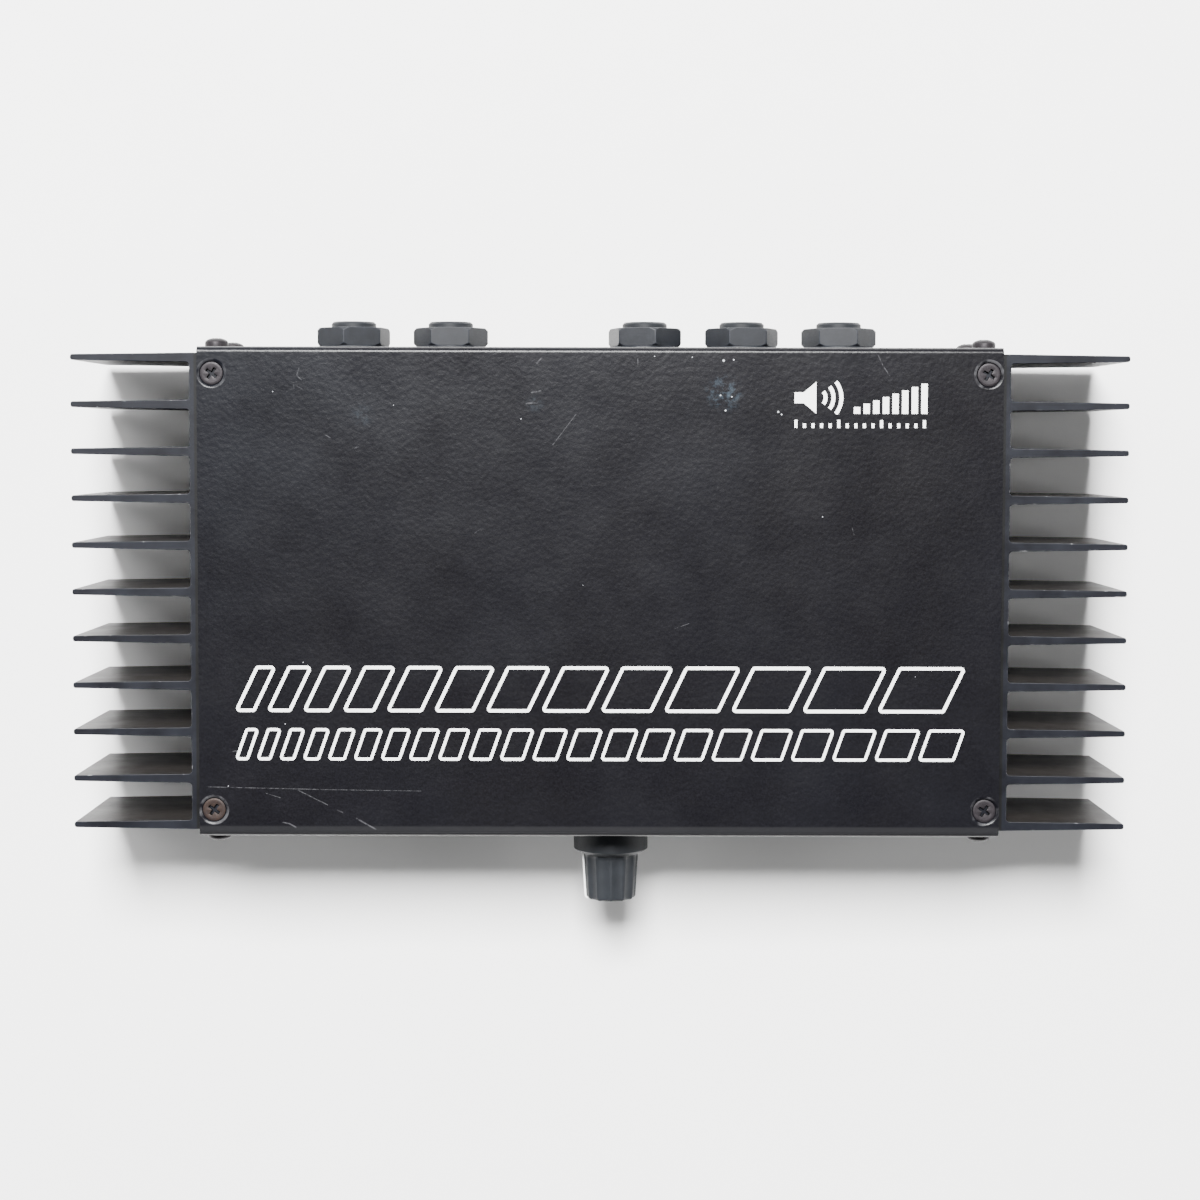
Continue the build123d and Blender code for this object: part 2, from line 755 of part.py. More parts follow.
pot_nut_width = 2 * (bushing_radius + pot_nut_wall)
washer_radius = pot_nut_width / 2 + pot_washer_margin
with BuildPart() as pot_washer:
    with BuildSketch(upright(front_face)):
        with Locations((knob_x, axis_height)):
            Circle(washer_radius)
            Circle(bushing_radius + thread_fit, mode=Mode.SUBTRACT)
    extrude(amount=pot_washer_thickness)
save(pot_washer, "pot_washer")

knob_side_nut = hex_nut(pot_nut_width, pot_nut_thickness, bushing_radius + thread_fit, pot_nut_corner)
with BuildPart() as pot_nut:
    with Locations(facing((0, -1, 0), knob_x, front_face - pot_washer_thickness, axis_height)):
        add(knob_side_nut)
save(pot_nut, "pot_nut")

# ================================================================ shaft, wiper and knob
def shaft_outline(clearance):
    """Sketch the end of the shaft, with its flat turned away from the pointer."""
    with Locations((knob_x, axis_height)):
        Circle(shaft_radius + clearance)
    flat_x = knob_x + shaft_radius - shaft_flat_depth + clearance
    with Locations((flat_x, axis_height)):
        Rectangle(2 * shaft_radius, 4 * shaft_radius, align=(Align.MIN, Align.CENTER), mode=Mode.SUBTRACT)


with BuildPart() as pot_shaft:
    with BuildSketch(upright(wiper_front + wiper_thickness)):
        with Locations((knob_x, axis_height)):
            Circle(shaft_stub_radius)
    extrude(amount=wiper_thickness)
    with BuildSketch(upright(wiper_front)):
        with Locations((knob_x, axis_height)):
            Circle(shaft_radius)
    extrude(amount=wiper_front - front_face + shaft_flat_start)
    with BuildSketch(upright(front_face - shaft_flat_start)):
        shaft_outline(0)
    extrude(amount=shaft_stand_out - shaft_flat_start)
save(pot_shaft, "pot_shaft")

with BuildPart() as pot_wiper:
    with BuildSketch(upright(wiper_front + wiper_thickness)):
        with Locations((knob_x, axis_height)):
            Circle(wiper_radius)
            Circle(shaft_stub_radius, mode=Mode.SUBTRACT)
    extrude(amount=wiper_thickness)
save(pot_wiper, "pot_wiper")

knob_end = knob_panel_gap + knob_length
flank_slope = (knob_body_radius - knob_end_radius) / (knob_end - knob_body_start)
flank_tilt = degrees(atan(flank_slope))
edge_start = knob_end - knob_end_edge
edge_radius_at = knob_body_radius - flank_slope * (edge_start - knob_body_start)

with BuildPart() as volume_knob:
    with BuildSketch(pot_section):
        with BuildLine():
            Polyline(
                (0, knob_end),
                (0, knob_panel_gap),
                (knob_skirt_radius, knob_panel_gap),
                (knob_skirt_radius, knob_skirt_rim),
                (knob_body_radius, knob_body_start),
                (edge_radius_at, edge_start),
            )
            TangentArc(
                (edge_radius_at, edge_start),
                (edge_radius_at - knob_end_edge, knob_end),
                tangent=(-flank_slope, 1),
            )
            Line((edge_radius_at - knob_end_edge, knob_end), (0, knob_end))
        make_face()
    revolve(axis=pot_axis)
    # flutes along the body, parallel to its flank
    with Locations(facing((0, -1, 0), knob_x, front_face - knob_body_start, axis_height)):
        for flute in range(flute_count):
            turn = Location((0, 0, 0), (0, 0, 360 * (flute + 0.5) / flute_count))
            seat = Location((knob_body_radius - flute_depth + flute_radius, 0, 0), (0, -flank_tilt, 0))
            with Locations(turn * seat):
                Cylinder(
                    flute_radius,
                    2 * knob_length,
                    align=(Align.CENTER, Align.CENTER, Align.MIN),
                    mode=Mode.SUBTRACT,
                )
    with BuildSketch(upright(front_face - knob_panel_gap)):
        with Locations((knob_x, axis_height)):
            Circle(knob_skirt_radius - knob_skirt_wall)
    extrude(amount=recess_bottom - knob_panel_gap, mode=Mode.SUBTRACT)
    with BuildSketch(upright(front_face - recess_bottom)):
        shaft_outline(knob_shaft_clearance)
    extrude(amount=shaft_stand_out + knob_bore_spare - recess_bottom, mode=Mode.SUBTRACT)
    # groove for the pointer, down the flank and over the front edge
    with BuildSketch(pot_section) as pointer_outline:
        with BuildLine():
            pointer_flank = Line(
                (-knob_body_radius - pointer_stand_out, knob_body_start),
                (-edge_radius_at - pointer_stand_out, edge_start),
            )
            pointer_bend = TangentArc(
                pointer_flank @ 1,
                (-edge_radius_at + knob_end_edge, knob_end + pointer_stand_out),
                tangent=pointer_flank % 1,
            )
            Polyline(
                pointer_bend @ 1,
                (-edge_radius_at + knob_end_edge + pointer_front_length, knob_end + pointer_stand_out),
                (-edge_radius_at + knob_end_edge + pointer_front_length, knob_end - pointer_depth),
                (-edge_radius_at + knob_end_edge + pointer_depth / 2, knob_end - pointer_depth),
                (-edge_radius_at + pointer_depth, edge_start - pointer_depth / 2),
                (-knob_body_radius + pointer_depth, knob_body_start),
                pointer_flank @ 0,
            )
        make_face()
    extrude(amount=pointer_width / 2, both=True, mode=Mode.SUBTRACT)
save(volume_knob, "volume_knob")

with BuildPart() as knob_pointer:
    extrude(pointer_outline.sketch, amount=pointer_width / 2, both=True)
save(knob_pointer, "knob_pointer")

# ================================================================ power indicator
lens_base = front_face - led_stand_out + led_length
flange_back = lens_base + led_flange_length
leg_drop_y = flange_back + led_leg_bend
led_legs = spread(2, led_leg_pitch, led_x)

with BuildPart() as power_led:
    with BuildSketch(upright(lens_base)):
        with Locations((led_x, led_axis)):
            Circle(led_radius)
    extrude(amount=led_length)
    fillet(edges().group_by(Axis.Y)[0], radius=led_dome_roundness * led_radius)
    with BuildSketch(upright(flange_back)):
        with Locations((led_x, led_axis)):
            Circle(led_flange_radius)
    extrude(amount=led_flange_length)
    with BuildSketch(upright(leg_drop_y + led_leg_size / 2)):
        with Locations(*[(x, led_axis) for x in led_legs]):
            Rectangle(led_leg_size, led_leg_size)
    extrude(amount=led_leg_bend + led_leg_size / 2)
    add_leads([(x, leg_drop_y) for x in led_legs], led_axis, led_leg_size / 2, square=True)
save(power_led, "power_led")

with BuildPart() as led_holder:
    with BuildSketch(upright(flange_back)):
        with Locations((led_x, board_top)):
            Rectangle(
                led_holder_width,
                led_axis + led_holder_top - board_top,
                align=(Align.CENTER, Align.MIN),
            )
    extrude(amount=-led_holder_depth)
    with BuildSketch(upright(flange_back)):
        with Locations((led_x, led_axis + led_leg_size)):
            Rectangle(
                led_leg_pitch + 2 * led_leg_size,
                led_axis + led_leg_size - board_top,
                align=(Align.CENTER, Align.MAX),
            )
    extrude(amount=-led_holder_depth, mode=Mode.SUBTRACT)
save(led_holder, "led_holder")

# ================================================================ power chips and clamps
chip_bottom = board_top + chip_lift
chip_places = spread(chip_count, chip_spacing, centre_y)
chip_lead_x = chip_face - chip_body_thickness / 2
clamp_screw = pan_screw(clamp_bar_thickness + chip_body_thickness + thermal_pad_thickness + clamp_screw_depth)

for name, side in sides:
    with BuildPart() as thermal_pads:
        pad_x = side * (chip_face + thermal_pad_thickness / 2)
        with Locations(*[(pad_x, y, chip_bottom + chip_tab_height / 2) for y in chip_places]):
            Box(
                thermal_pad_thickness,
                chip_width + 2 * thermal_pad_margin,
                chip_tab_height + 2 * thermal_pad_margin,
            )
    save(thermal_pads, f"{name}_thermal_pads")

    with BuildPart() as power_chips:
        with Locations(*[(side * chip_face, y, chip_bottom) for y in chip_places]):
            Box(
                chip_tab_thickness,
                chip_width,
                chip_tab_height,
                align=(Align.MAX if side > 0 else Align.MIN, Align.CENTER, Align.MIN),
            )
            Box(
                chip_body_thickness,
                chip_width,
                chip_body_height,
                align=(Align.MAX if side > 0 else Align.MIN, Align.CENTER, Align.MIN),
            )
        add_leads(
            [
                (side * chip_lead_x, lead_y)
                for y in chip_places
                for lead_y in spread(chip_lead_count, chip_lead_pitch, y)
            ],
            chip_bottom + chip_lead_size,
            chip_lead_size / 2,
            square=True,
        )
    save(power_chips, f"{name}_power_chips")

    with BuildPart() as clamp_bar:
        with Locations((side * (clamp_inner + clamp_bar_thickness / 2), centre_y, clamp_level)):
            Box(clamp_bar_thickness, chip_count * chip_spacing + 2 * clamp_bar_end, clamp_bar_height)
        with Locations(*[facing((-side, 0, 0), side * clamp_inner, y, clamp_level) for y in clamp_rows]):
            Hole(screw_hole_radius, depth=clamp_bar_thickness)
    save(clamp_bar, f"{name}_clamp_bar")

    with BuildPart() as clamp_screws:
        with Locations(*[facing((-side, 0, 0), side * clamp_inner, y, clamp_level) for y in clamp_rows]):
            add(clamp_screw)
    save(clamp_screws, f"{name}_clamp_screws")

# ================================================================ parts on the board
with BuildPart() as reservoir_capacitors:
    with BuildSketch(Plane.XY.offset(board_top)):
        with Locations((0, middle_y)):
            with GridLocations(capacitor_spacing, capacitor_spacing, 2, 2):
                Circle(capacitor_radius)
    extrude(amount=capacitor_height)
    fillet(edges().group_by(Axis.Z)[-1], radius=capacitor_edge_radius)
    add_leads(
        [
            (x, y)
            for can_x in spread(2, capacitor_spacing)
            for x in spread(2, capacitor_lead_pitch, can_x)
            for y in spread(2, capacitor_spacing, middle_y)
        ],
        board_top + lead_radius,
        lead_radius,
    )
save(reservoir_capacitors, "reservoir_capacitors")

core_bottom = board_top + small_part_lift + winding_wire + winding_gap
with BuildPart() as inductor_cores:
    with BuildSketch(Plane.XY.offset(core_bottom)):
        with Locations(*[(side * core_place_x, middle_y) for name, side in sides]):
            Circle(core_outer_radius)
            Circle(core_inner_radius, mode=Mode.SUBTRACT)
    extrude(amount=core_height)
    fillet(edges().filter_by(GeomType.CIRCLE), radius=core_edge_radius)
save(inductor_cores, "inductor_cores")

loop_width = core_outer_radius - core_inner_radius + 2 * winding_gap
loop_height = core_height + 2 * winding_gap
loop_middle = (core_outer_radius + core_inner_radius) / 2
loop_centre = core_bottom + core_height / 2
with BuildPart() as winding_loop:
    with BuildSketch(Plane.XZ):
        with Locations((loop_middle, 0)):
            RectangleRounded(
                loop_width + 2 * winding_wire,
                loop_height + 2 * winding_wire,
                radius=winding_wire,
            )
            Rectangle(loop_width, loop_height, mode=Mode.SUBTRACT)
    extrude(amount=winding_wire / 2, both=True)

with BuildPart() as inductor_windings:
    for name, side in sides:
        with Locations((side * core_place_x, middle_y, loop_centre)):
            with PolarLocations(0, winding_turns):
                add(winding_loop.part)
    outer_bar = core_outer_radius + winding_gap + winding_wire / 2
    add_leads(
        [(side * core_place_x + end * outer_bar, middle_y) for name, side in sides for end in (-1, 1)],
        core_bottom,
        lead_radius,
    )
save(inductor_windings, "inductor_windings")

film_cap_places = [
    (side * film_cap_place_x, y) for name, side in sides for y in spread(2, film_cap_spacing, middle_y)
]
with BuildPart() as film_capacitors:
    with Locations(*[(x, y, board_top + small_part_lift) for x, y in film_cap_places]):
        Box(
            film_cap_width,
            film_cap_length,
            film_cap_height,
            align=(Align.CENTER, Align.CENTER, Align.MIN),
        )
    fillet(edges().filter_by(Axis.Z), radius=lead_radius)
    add_leads(
        [(x, lead_y) for x, y in film_cap_places for lead_y in spread(2, film_cap_lead_pitch, y)],
        board_top + 2 * small_part_lift,
        lead_radius,
    )
save(film_capacitors, "film_capacitors")

resistor_y = front_inner + resistor_row
resistor_z = board_top + small_part_lift + resistor_radius
resistor_places = [
    (x, y)
    for x in spread(resistor_columns, resistor_column_pitch, resistor_place_x)
    for y in spread(resistor_rows, resistor_spacing, resistor_y)
]
with BuildPart() as resistors:
    for x, y in resistor_places:
        with BuildSketch(Plane.YZ.offset(x - resistor_length / 2)):
            with Locations((y, resistor_z)):
                Circle(resistor_radius)
        extrude(amount=resistor_length)
        with BuildSketch(Plane.YZ.offset(x - resistor_lead_pitch / 2 - lead_radius)):
            with Locations((y, resistor_z)):
                Circle(lead_radius)
        extrude(amount=resistor_lead_pitch + 2 * lead_radius)
    add_leads(
        [(lead_x, y) for x, y in resistor_places for lead_x in spread(2, resistor_lead_pitch, x)],
        resistor_z,
        lead_radius,
    )
save(resistors, "resistors")

with BuildPart() as preamp_chips:
    bodies = [(side * preamp_place_x, middle_y, board_top + small_part_lift) for name, side in sides]
    with Locations(*bodies):
        Box(
            preamp_chip_width,
            preamp_chip_length,
            preamp_chip_height,
            align=(Align.CENTER, Align.CENTER, Align.MIN),
        )
    shoulder = board_top + small_part_lift + preamp_chip_height / 2
    preamp_lead_rows = spread(preamp_leads_in_row, preamp_lead_pitch, middle_y)
    shoulders = [(side * preamp_place_x, y, shoulder) for name, side in sides for y in preamp_lead_rows]
    with Locations(*shoulders):
        Box(preamp_row_pitch, chip_lead_size, chip_lead_size)
    add_leads(
        [
            (x, y)
            for name, side in sides
            for x in spread(2, preamp_row_pitch, side * preamp_place_x)
            for y in preamp_lead_rows
        ],
        shoulder + chip_lead_size / 2,
        chip_lead_size / 2,
        square=True,
    )
save(preamp_chips, "preamp_chips")

relay_y = front_inner + relay_row
with BuildPart() as speaker_relay:
    with Locations((relay_place_x, relay_y, board_top + small_part_lift)):
        Box(relay_length, relay_width, relay_height, align=(Align.CENTER, Align.CENTER, Align.MIN))
    fillet(edges().filter_by(Axis.Z) + edges().group_by(Axis.Z)[-1], radius=relay_edge_radius)
    add_leads(
        [
            (x, y)
            for x in spread(2, relay_lead_pitch_x, relay_place_x)
            for y in spread(2, relay_lead_pitch_y, relay_y)
        ],
        board_top + 2 * small_part_lift,
        lead_radius,
    )
save(speaker_relay, "speaker_relay")

# ================================================================ circuit board and its fixings
with BuildPart() as main_board:
    with BuildSketch(Plane.XY.offset(board_bottom)):
        with Locations((0, centre_y)):
            Rectangle(
                2 * (base_inner - board_gap),
                body_depth - 2 * (sheet_thickness + board_gap),
            )
        with Locations(*spacer_places):
            Circle(screw_hole_radius, mode=Mode.SUBTRACT)
        for x, y, radius in lead_spots:
            with Locations((x, y)):
                Circle(radius, mode=Mode.SUBTRACT)
    extrude(amount=board_thickness)
save(main_board, "main_board")

with BuildPart() as board_spacers:
    with BuildSketch(Plane.XY.offset(plate_top)):
        with Locations(*spacer_places):
            RegularPolygon(radius=spacer_radius, side_count=6, major_radius=False)
            Circle(tapped_radius, mode=Mode.SUBTRACT)
    extrude(amount=spacer_height)
save(board_spacers, "board_spacers")

spacer_screw = pan_screw(spacer_screw_length)
with BuildPart() as board_screws:
    with Locations(*[facing((0, 0, 1), x, y, board_top) for x, y in spacer_places]):
        add(spacer_screw)
save(board_screws, "board_screws")

with BuildPart() as spacer_screws:
    with Locations(*[facing((0, 0, -1), x, y, plate_bottom) for x, y in spacer_places]):
        add(spacer_screw)
save(spacer_screws, "spacer_screws")
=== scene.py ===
"""Looks of a compact stereo power amplifier: folded cover, finned heatsinks, jacks and knob.

Metres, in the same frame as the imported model: +Z up, the knob faces -Y.
"""

import json
import math

import bmesh
import bpy
from mathutils import Matrix, Vector


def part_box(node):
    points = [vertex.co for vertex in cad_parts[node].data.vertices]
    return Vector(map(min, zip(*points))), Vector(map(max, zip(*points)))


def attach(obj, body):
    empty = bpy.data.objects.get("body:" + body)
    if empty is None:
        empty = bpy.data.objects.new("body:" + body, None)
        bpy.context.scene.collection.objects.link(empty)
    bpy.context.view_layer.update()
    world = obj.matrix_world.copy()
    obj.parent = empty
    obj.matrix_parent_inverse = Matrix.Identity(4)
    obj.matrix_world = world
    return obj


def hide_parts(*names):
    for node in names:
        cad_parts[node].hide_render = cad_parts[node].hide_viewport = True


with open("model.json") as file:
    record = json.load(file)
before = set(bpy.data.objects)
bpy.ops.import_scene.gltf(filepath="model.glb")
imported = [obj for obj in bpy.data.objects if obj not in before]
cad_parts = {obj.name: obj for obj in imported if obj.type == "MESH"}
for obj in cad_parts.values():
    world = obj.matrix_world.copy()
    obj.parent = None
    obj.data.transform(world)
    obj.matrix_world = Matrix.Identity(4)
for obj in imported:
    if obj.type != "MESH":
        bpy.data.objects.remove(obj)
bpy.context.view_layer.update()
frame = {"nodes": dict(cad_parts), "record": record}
mm = 0.001

# ------ sizes taken from the frame
cover_low, cover_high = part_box("top_cover")
plate_low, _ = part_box("bottom_plate")
left_low, left_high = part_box("left_heatsink")
right_low, right_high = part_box("right_heatsink")
knob_low, knob_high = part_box("volume_knob")
washers_low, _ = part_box("jack_washers")
polished_low, polished_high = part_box("left_input_jack")
cover_width = cover_high.x - cover_low.x
centre_y = (right_low.y + right_high.y) / 2
heatsink_top = right_high.z
front_face = cover_low.y
back_face = washers_low.y
knob_x = (knob_low.x + knob_high.x) / 2
axis_height = (knob_low.z + knob_high.z) / 2

# ------ sizes of the visible details
fin_count = 11
fin_depth = 28.5 * mm
fin_root = 2.2 * mm
fin_tip = 1.4 * mm
fin_root_radius = 0.8 * mm
fin_tip_radius = 0.55 * mm
screw_inset_x = 3.5 * mm
screw_inset_y = 6.45 * mm
countersink_radius = 3.25 * mm
pan_head_radius = 2.8 * mm
foot_width = 12 * mm
recess_reach = 1.9 * mm
recess_depth = 1.9 * mm
ink = 0.03 * mm  # thickness of the printed marks
screw_x = cover_width / 2 - screw_inset_x
screw_y = (cover_high.y - cover_low.y) / 2 - screw_inset_y


# ------ node trees
class Tree:
    """A node tree that is filled one node at a time."""

    def __init__(self, tree):
        self.tree = tree

    def add(self, kind, settings=None, **inputs):
        """Add a node. Inputs are values or sockets, named as on the node, _ for a space."""
        node = self.tree.nodes.new(kind)
        for key, value in (settings or {}).items():
            setattr(node, key, value)
        for key, value in inputs.items():
            self.feed(node.inputs[key.replace("_", " ")], value)
        return node

    def out(self, kind, settings=None, **inputs):
        """A new node's first output."""
        return self.add(kind, settings, **inputs).outputs[0]

    def point(self, **parts):
        """A vector of its X, Y and Z."""
        return self.out("ShaderNodeCombineXYZ", **parts)

    def feed(self, socket, value):
        """Give an input a plain value or another node's output."""
        if isinstance(value, bpy.types.NodeSocket):
            self.tree.links.new(value, socket)
        else:
            socket.default_value = value

    def math(self, operation, *terms):
        """A math node's result."""
        node = self.add("ShaderNodeMath", {"operation": operation})
        for socket, term in zip(node.inputs, terms):
            self.feed(socket, term)
        return node.outputs[0]

    def times(self, a, b):
        """The product of two terms."""
        return self.math("MULTIPLY", a, b)

    def minus(self, a, b):
        """The first term less the second."""
        return self.math("SUBTRACT", a, b)

    def vector(self, operation, *terms):
        """A vector math node."""
        node = self.add("ShaderNodeVectorMath", {"operation": operation})
        for socket, term in zip(node.inputs, terms):
            self.feed(socket, term)
        return node

    def curve(self, value, low, high, to_low=0.0, to_high=1.0, smooth=False):
        """Stretch the range low to high onto another range, clamped."""
        node = self.add("ShaderNodeMapRange", Value=value)
        if smooth:
            node.interpolation_type = "SMOOTHSTEP"
        node.inputs["From Min"].default_value = low
        node.inputs["From Max"].default_value = high
        node.inputs["To Min"].default_value = to_low
        node.inputs["To Max"].default_value = to_high
        return node.outputs["Result"]


# ------ finishes
def line_distance_group():
    """A shader group: how far a place is from the straight line between two points."""
    group = bpy.data.node_groups.new("line_distance", "ShaderNodeTree")
    for name in ("Place", "Start", "End"):
        group.interface.new_socket(name, in_out="INPUT", socket_type="NodeSocketVector")
    group.interface.new_socket("Distance", in_out="OUTPUT", socket_type="NodeSocketFloat")
    tree = Tree(group)
    source = tree.add("NodeGroupInput").outputs
    from_start = tree.vector("SUBTRACT", source["Place"], source["Start"]).outputs["Vector"]
    whole = tree.vector("SUBTRACT", source["End"], source["Start"]).outputs["Vector"]
    along = tree.vector("DOT_PRODUCT", from_start, whole).outputs["Value"]
    length = tree.vector("DOT_PRODUCT", whole, whole).outputs["Value"]
    share = tree.curve(tree.math("DIVIDE", along, length), 0, 1)
    foot = tree.add("ShaderNodeVectorMath", {"operation": "SCALE"}, Scale=share)
    tree.feed(foot.inputs[0], whole)
    distance = tree.vector("DISTANCE", from_start, foot.outputs["Vector"]).outputs["Value"]
    tree.add("NodeGroupOutput", Distance=distance)
    return group


line_distance = line_distance_group()


class Finish(Tree):
    """A material and the nodes that are added to it."""

    def __init__(self, name):
        self.material = bpy.data.materials.new(name)
        self.material.use_nodes = True
        super().__init__(self.material.node_tree)
        self.surface = self.tree.nodes["Principled BSDF"]
        self.place = self.add("ShaderNodeTexCoord").outputs["Object"]
        parts = self.add("ShaderNodeSeparateXYZ", Vector=self.place).outputs
        self.x, self.y, self.z = parts["X"], parts["Y"], parts["Z"]

    def set(self, **inputs):
        """Set the shader's own inputs."""
        for key, value in inputs.items():
            self.feed(self.surface.inputs[key.replace("_", " ")], value)

    def noise(self, size, detail=3.0, roughness=0.5, stretch=None):
        """Noise from 0 to 1, with lumps about size metres across."""
        vector = self.place
        if stretch:
            vector = self.add("ShaderNodeMapping", Vector=vector, Scale=stretch).outputs["Vector"]
        node = self.add("ShaderNodeTexNoise", Vector=vector, Scale=1 / size, Detail=detail)
        node.inputs["Roughness"].default_value = roughness
        return node.outputs["Fac"]

    def blend(self, share, a, b):
        """Colour a turning to colour b as share goes from 0 to 1."""
        node = self.add("ShaderNodeMix", {"data_type": "RGBA"})
        self.feed(node.inputs[0], share)
        self.feed(node.inputs[6], a)
        self.feed(node.inputs[7], b)
        return node.outputs[2]

    def tint(self, colour, mask, share, *paint):
        """A colour painted over as strongly as share where the mask is 1."""
        return self.blend(self.times(mask, share), colour, rgb(*paint))

    def near(self, value, middle, reach, fade):
        """1 within reach of a middle value, fading to 0 over fade."""
        distance = self.math("ABSOLUTE", self.minus(value, middle))
        return self.curve(distance, reach + fade, reach, smooth=True)

    def spot(self, x, y, radius, fade):
        """1 inside an upright column about a point, fading to 0 over fade."""
        flat = self.point(X=self.x, Y=self.y)
        distance = self.vector("DISTANCE", flat, (x, y, 0)).outputs["Value"]
        return self.curve(distance, radius + fade, radius, smooth=True)

    def scratch(self, start, end, width, height):
        """1 along a thin straight scratch on a level face."""
        node = self.add("ShaderNodeGroup", {"node_tree": line_distance})
        self.feed(node.inputs["Place"], self.place)
        node.inputs["Start"].default_value = (*start, height)
        node.inputs["End"].default_value = (*end, height)
        return self.curve(node.outputs["Distance"], width, width * 0.3)

    def most(self, masks):
        """The strongest of several masks."""
        strongest = masks[0]
        for mask in masks[1:]:
            strongest = self.math("MAXIMUM", strongest, mask)
        return strongest

    def edge(self):
        """1 on the faces that round an edge."""
        return self.add("ShaderNodeAttribute", {"attribute_name": "edge"}).outputs["Fac"]

    def bumps(self, *layers):
        """Bump from (height, depth in metres) layers, each on top of the one before."""
        normal = None
        for height, depth in layers:
            node = self.add("ShaderNodeBump", Height=height, Distance=depth)
            node.inputs["Strength"].default_value = 1.0
            if normal:
                self.feed(node.inputs["Normal"], normal)
            normal = node.outputs["Normal"]
        self.set(Normal=normal)


def rgb(red, green, blue):
    """A colour as the nodes want it."""
    return (red, green, blue, 1.0)


# Marks of use on the cover, in millimetres: x and y of a scratch's start, of its end, and its width.
scratches = (
    (-94.3, -41.0, -66.0, -41.6, 0.13), (-66.0, -41.6, -43.0, -41.9, 0.10),
    (-72.8, -41.7, -65.6, -45.3, 0.16), (-63.2, -46.6, -61.6, -47.3, 0.20),
    (-58.6, -48.6, -54.0, -51.2, 0.24), (-76.4, -49.6, -74.8, -49.9, 0.22),
    (-74.8, -49.9, -73.2, -50.8, 0.22), (-80.5, -42.5, -77.0, -43.6, 0.10),
    (-15.1, 61.1, -13.8, 62.6, 0.24), (-16.4, 54.1, -14.2, 54.5, 0.26),
    (-17.6, 51.5, -14.8, 51.7, 0.26), (-11.3, 41.6, -5.8, 48.9, 0.11),
    (-72.0, 59.8, -72.5, 58.2, 0.18), (-72.4, 57.9, -71.4, 57.0, 0.20),
    (-73.3, 56.1, -73.2, 55.0, 0.18), (-72.5, 55.5, -71.3, 54.9, 0.20),
    (9.0, 62.2, 9.0, 60.9, 0.16), (66.4, 63.2, 67.6, 60.6, 0.15),
    (67.6, 60.6, 69.2, 58.3, 0.15), (-65.6, 43.8, -64.6, 43.2, 0.18),
    (-58.6, 40.8, -57.8, 41.1, 0.20), (-88.4, -32.4, -87.2, -32.2, 0.16),
    (60.5, 22.0, 61.0, 20.2, 0.10), (-30.0, 20.4, -28.6, 21.5, 0.09),
    (18.0, -2.5, 21.5, -1.2, 0.08),
)
# Chips down to the primer, in millimetres: x, y and radius.
chips = (
    (29.5, 61.8, 0.38), (31.9, 62.0, 0.26), (30.0, 49.9, 0.30),
    (28.8, 53.5, 0.24), (31.5, 53.2, 0.22), (13.0, 62.8, 0.16),
    (-18.9, 47.8, 0.18), (-78.3, 54.2, 0.18), (-49.4, 51.0, 0.14),
    (-71.3, -10.8, 0.15), (-75.7, -25.7, 0.16), (-89.5, -40.8, 0.15),
    (42.6, 49.6, 0.34), (43.4, 49.0, 0.26), (22.0, 62.6, 0.16),
    (53.4, 24.5, 0.16), (-4.0, 8.0, 0.10), (76.0, -14.0, 0.10),
)


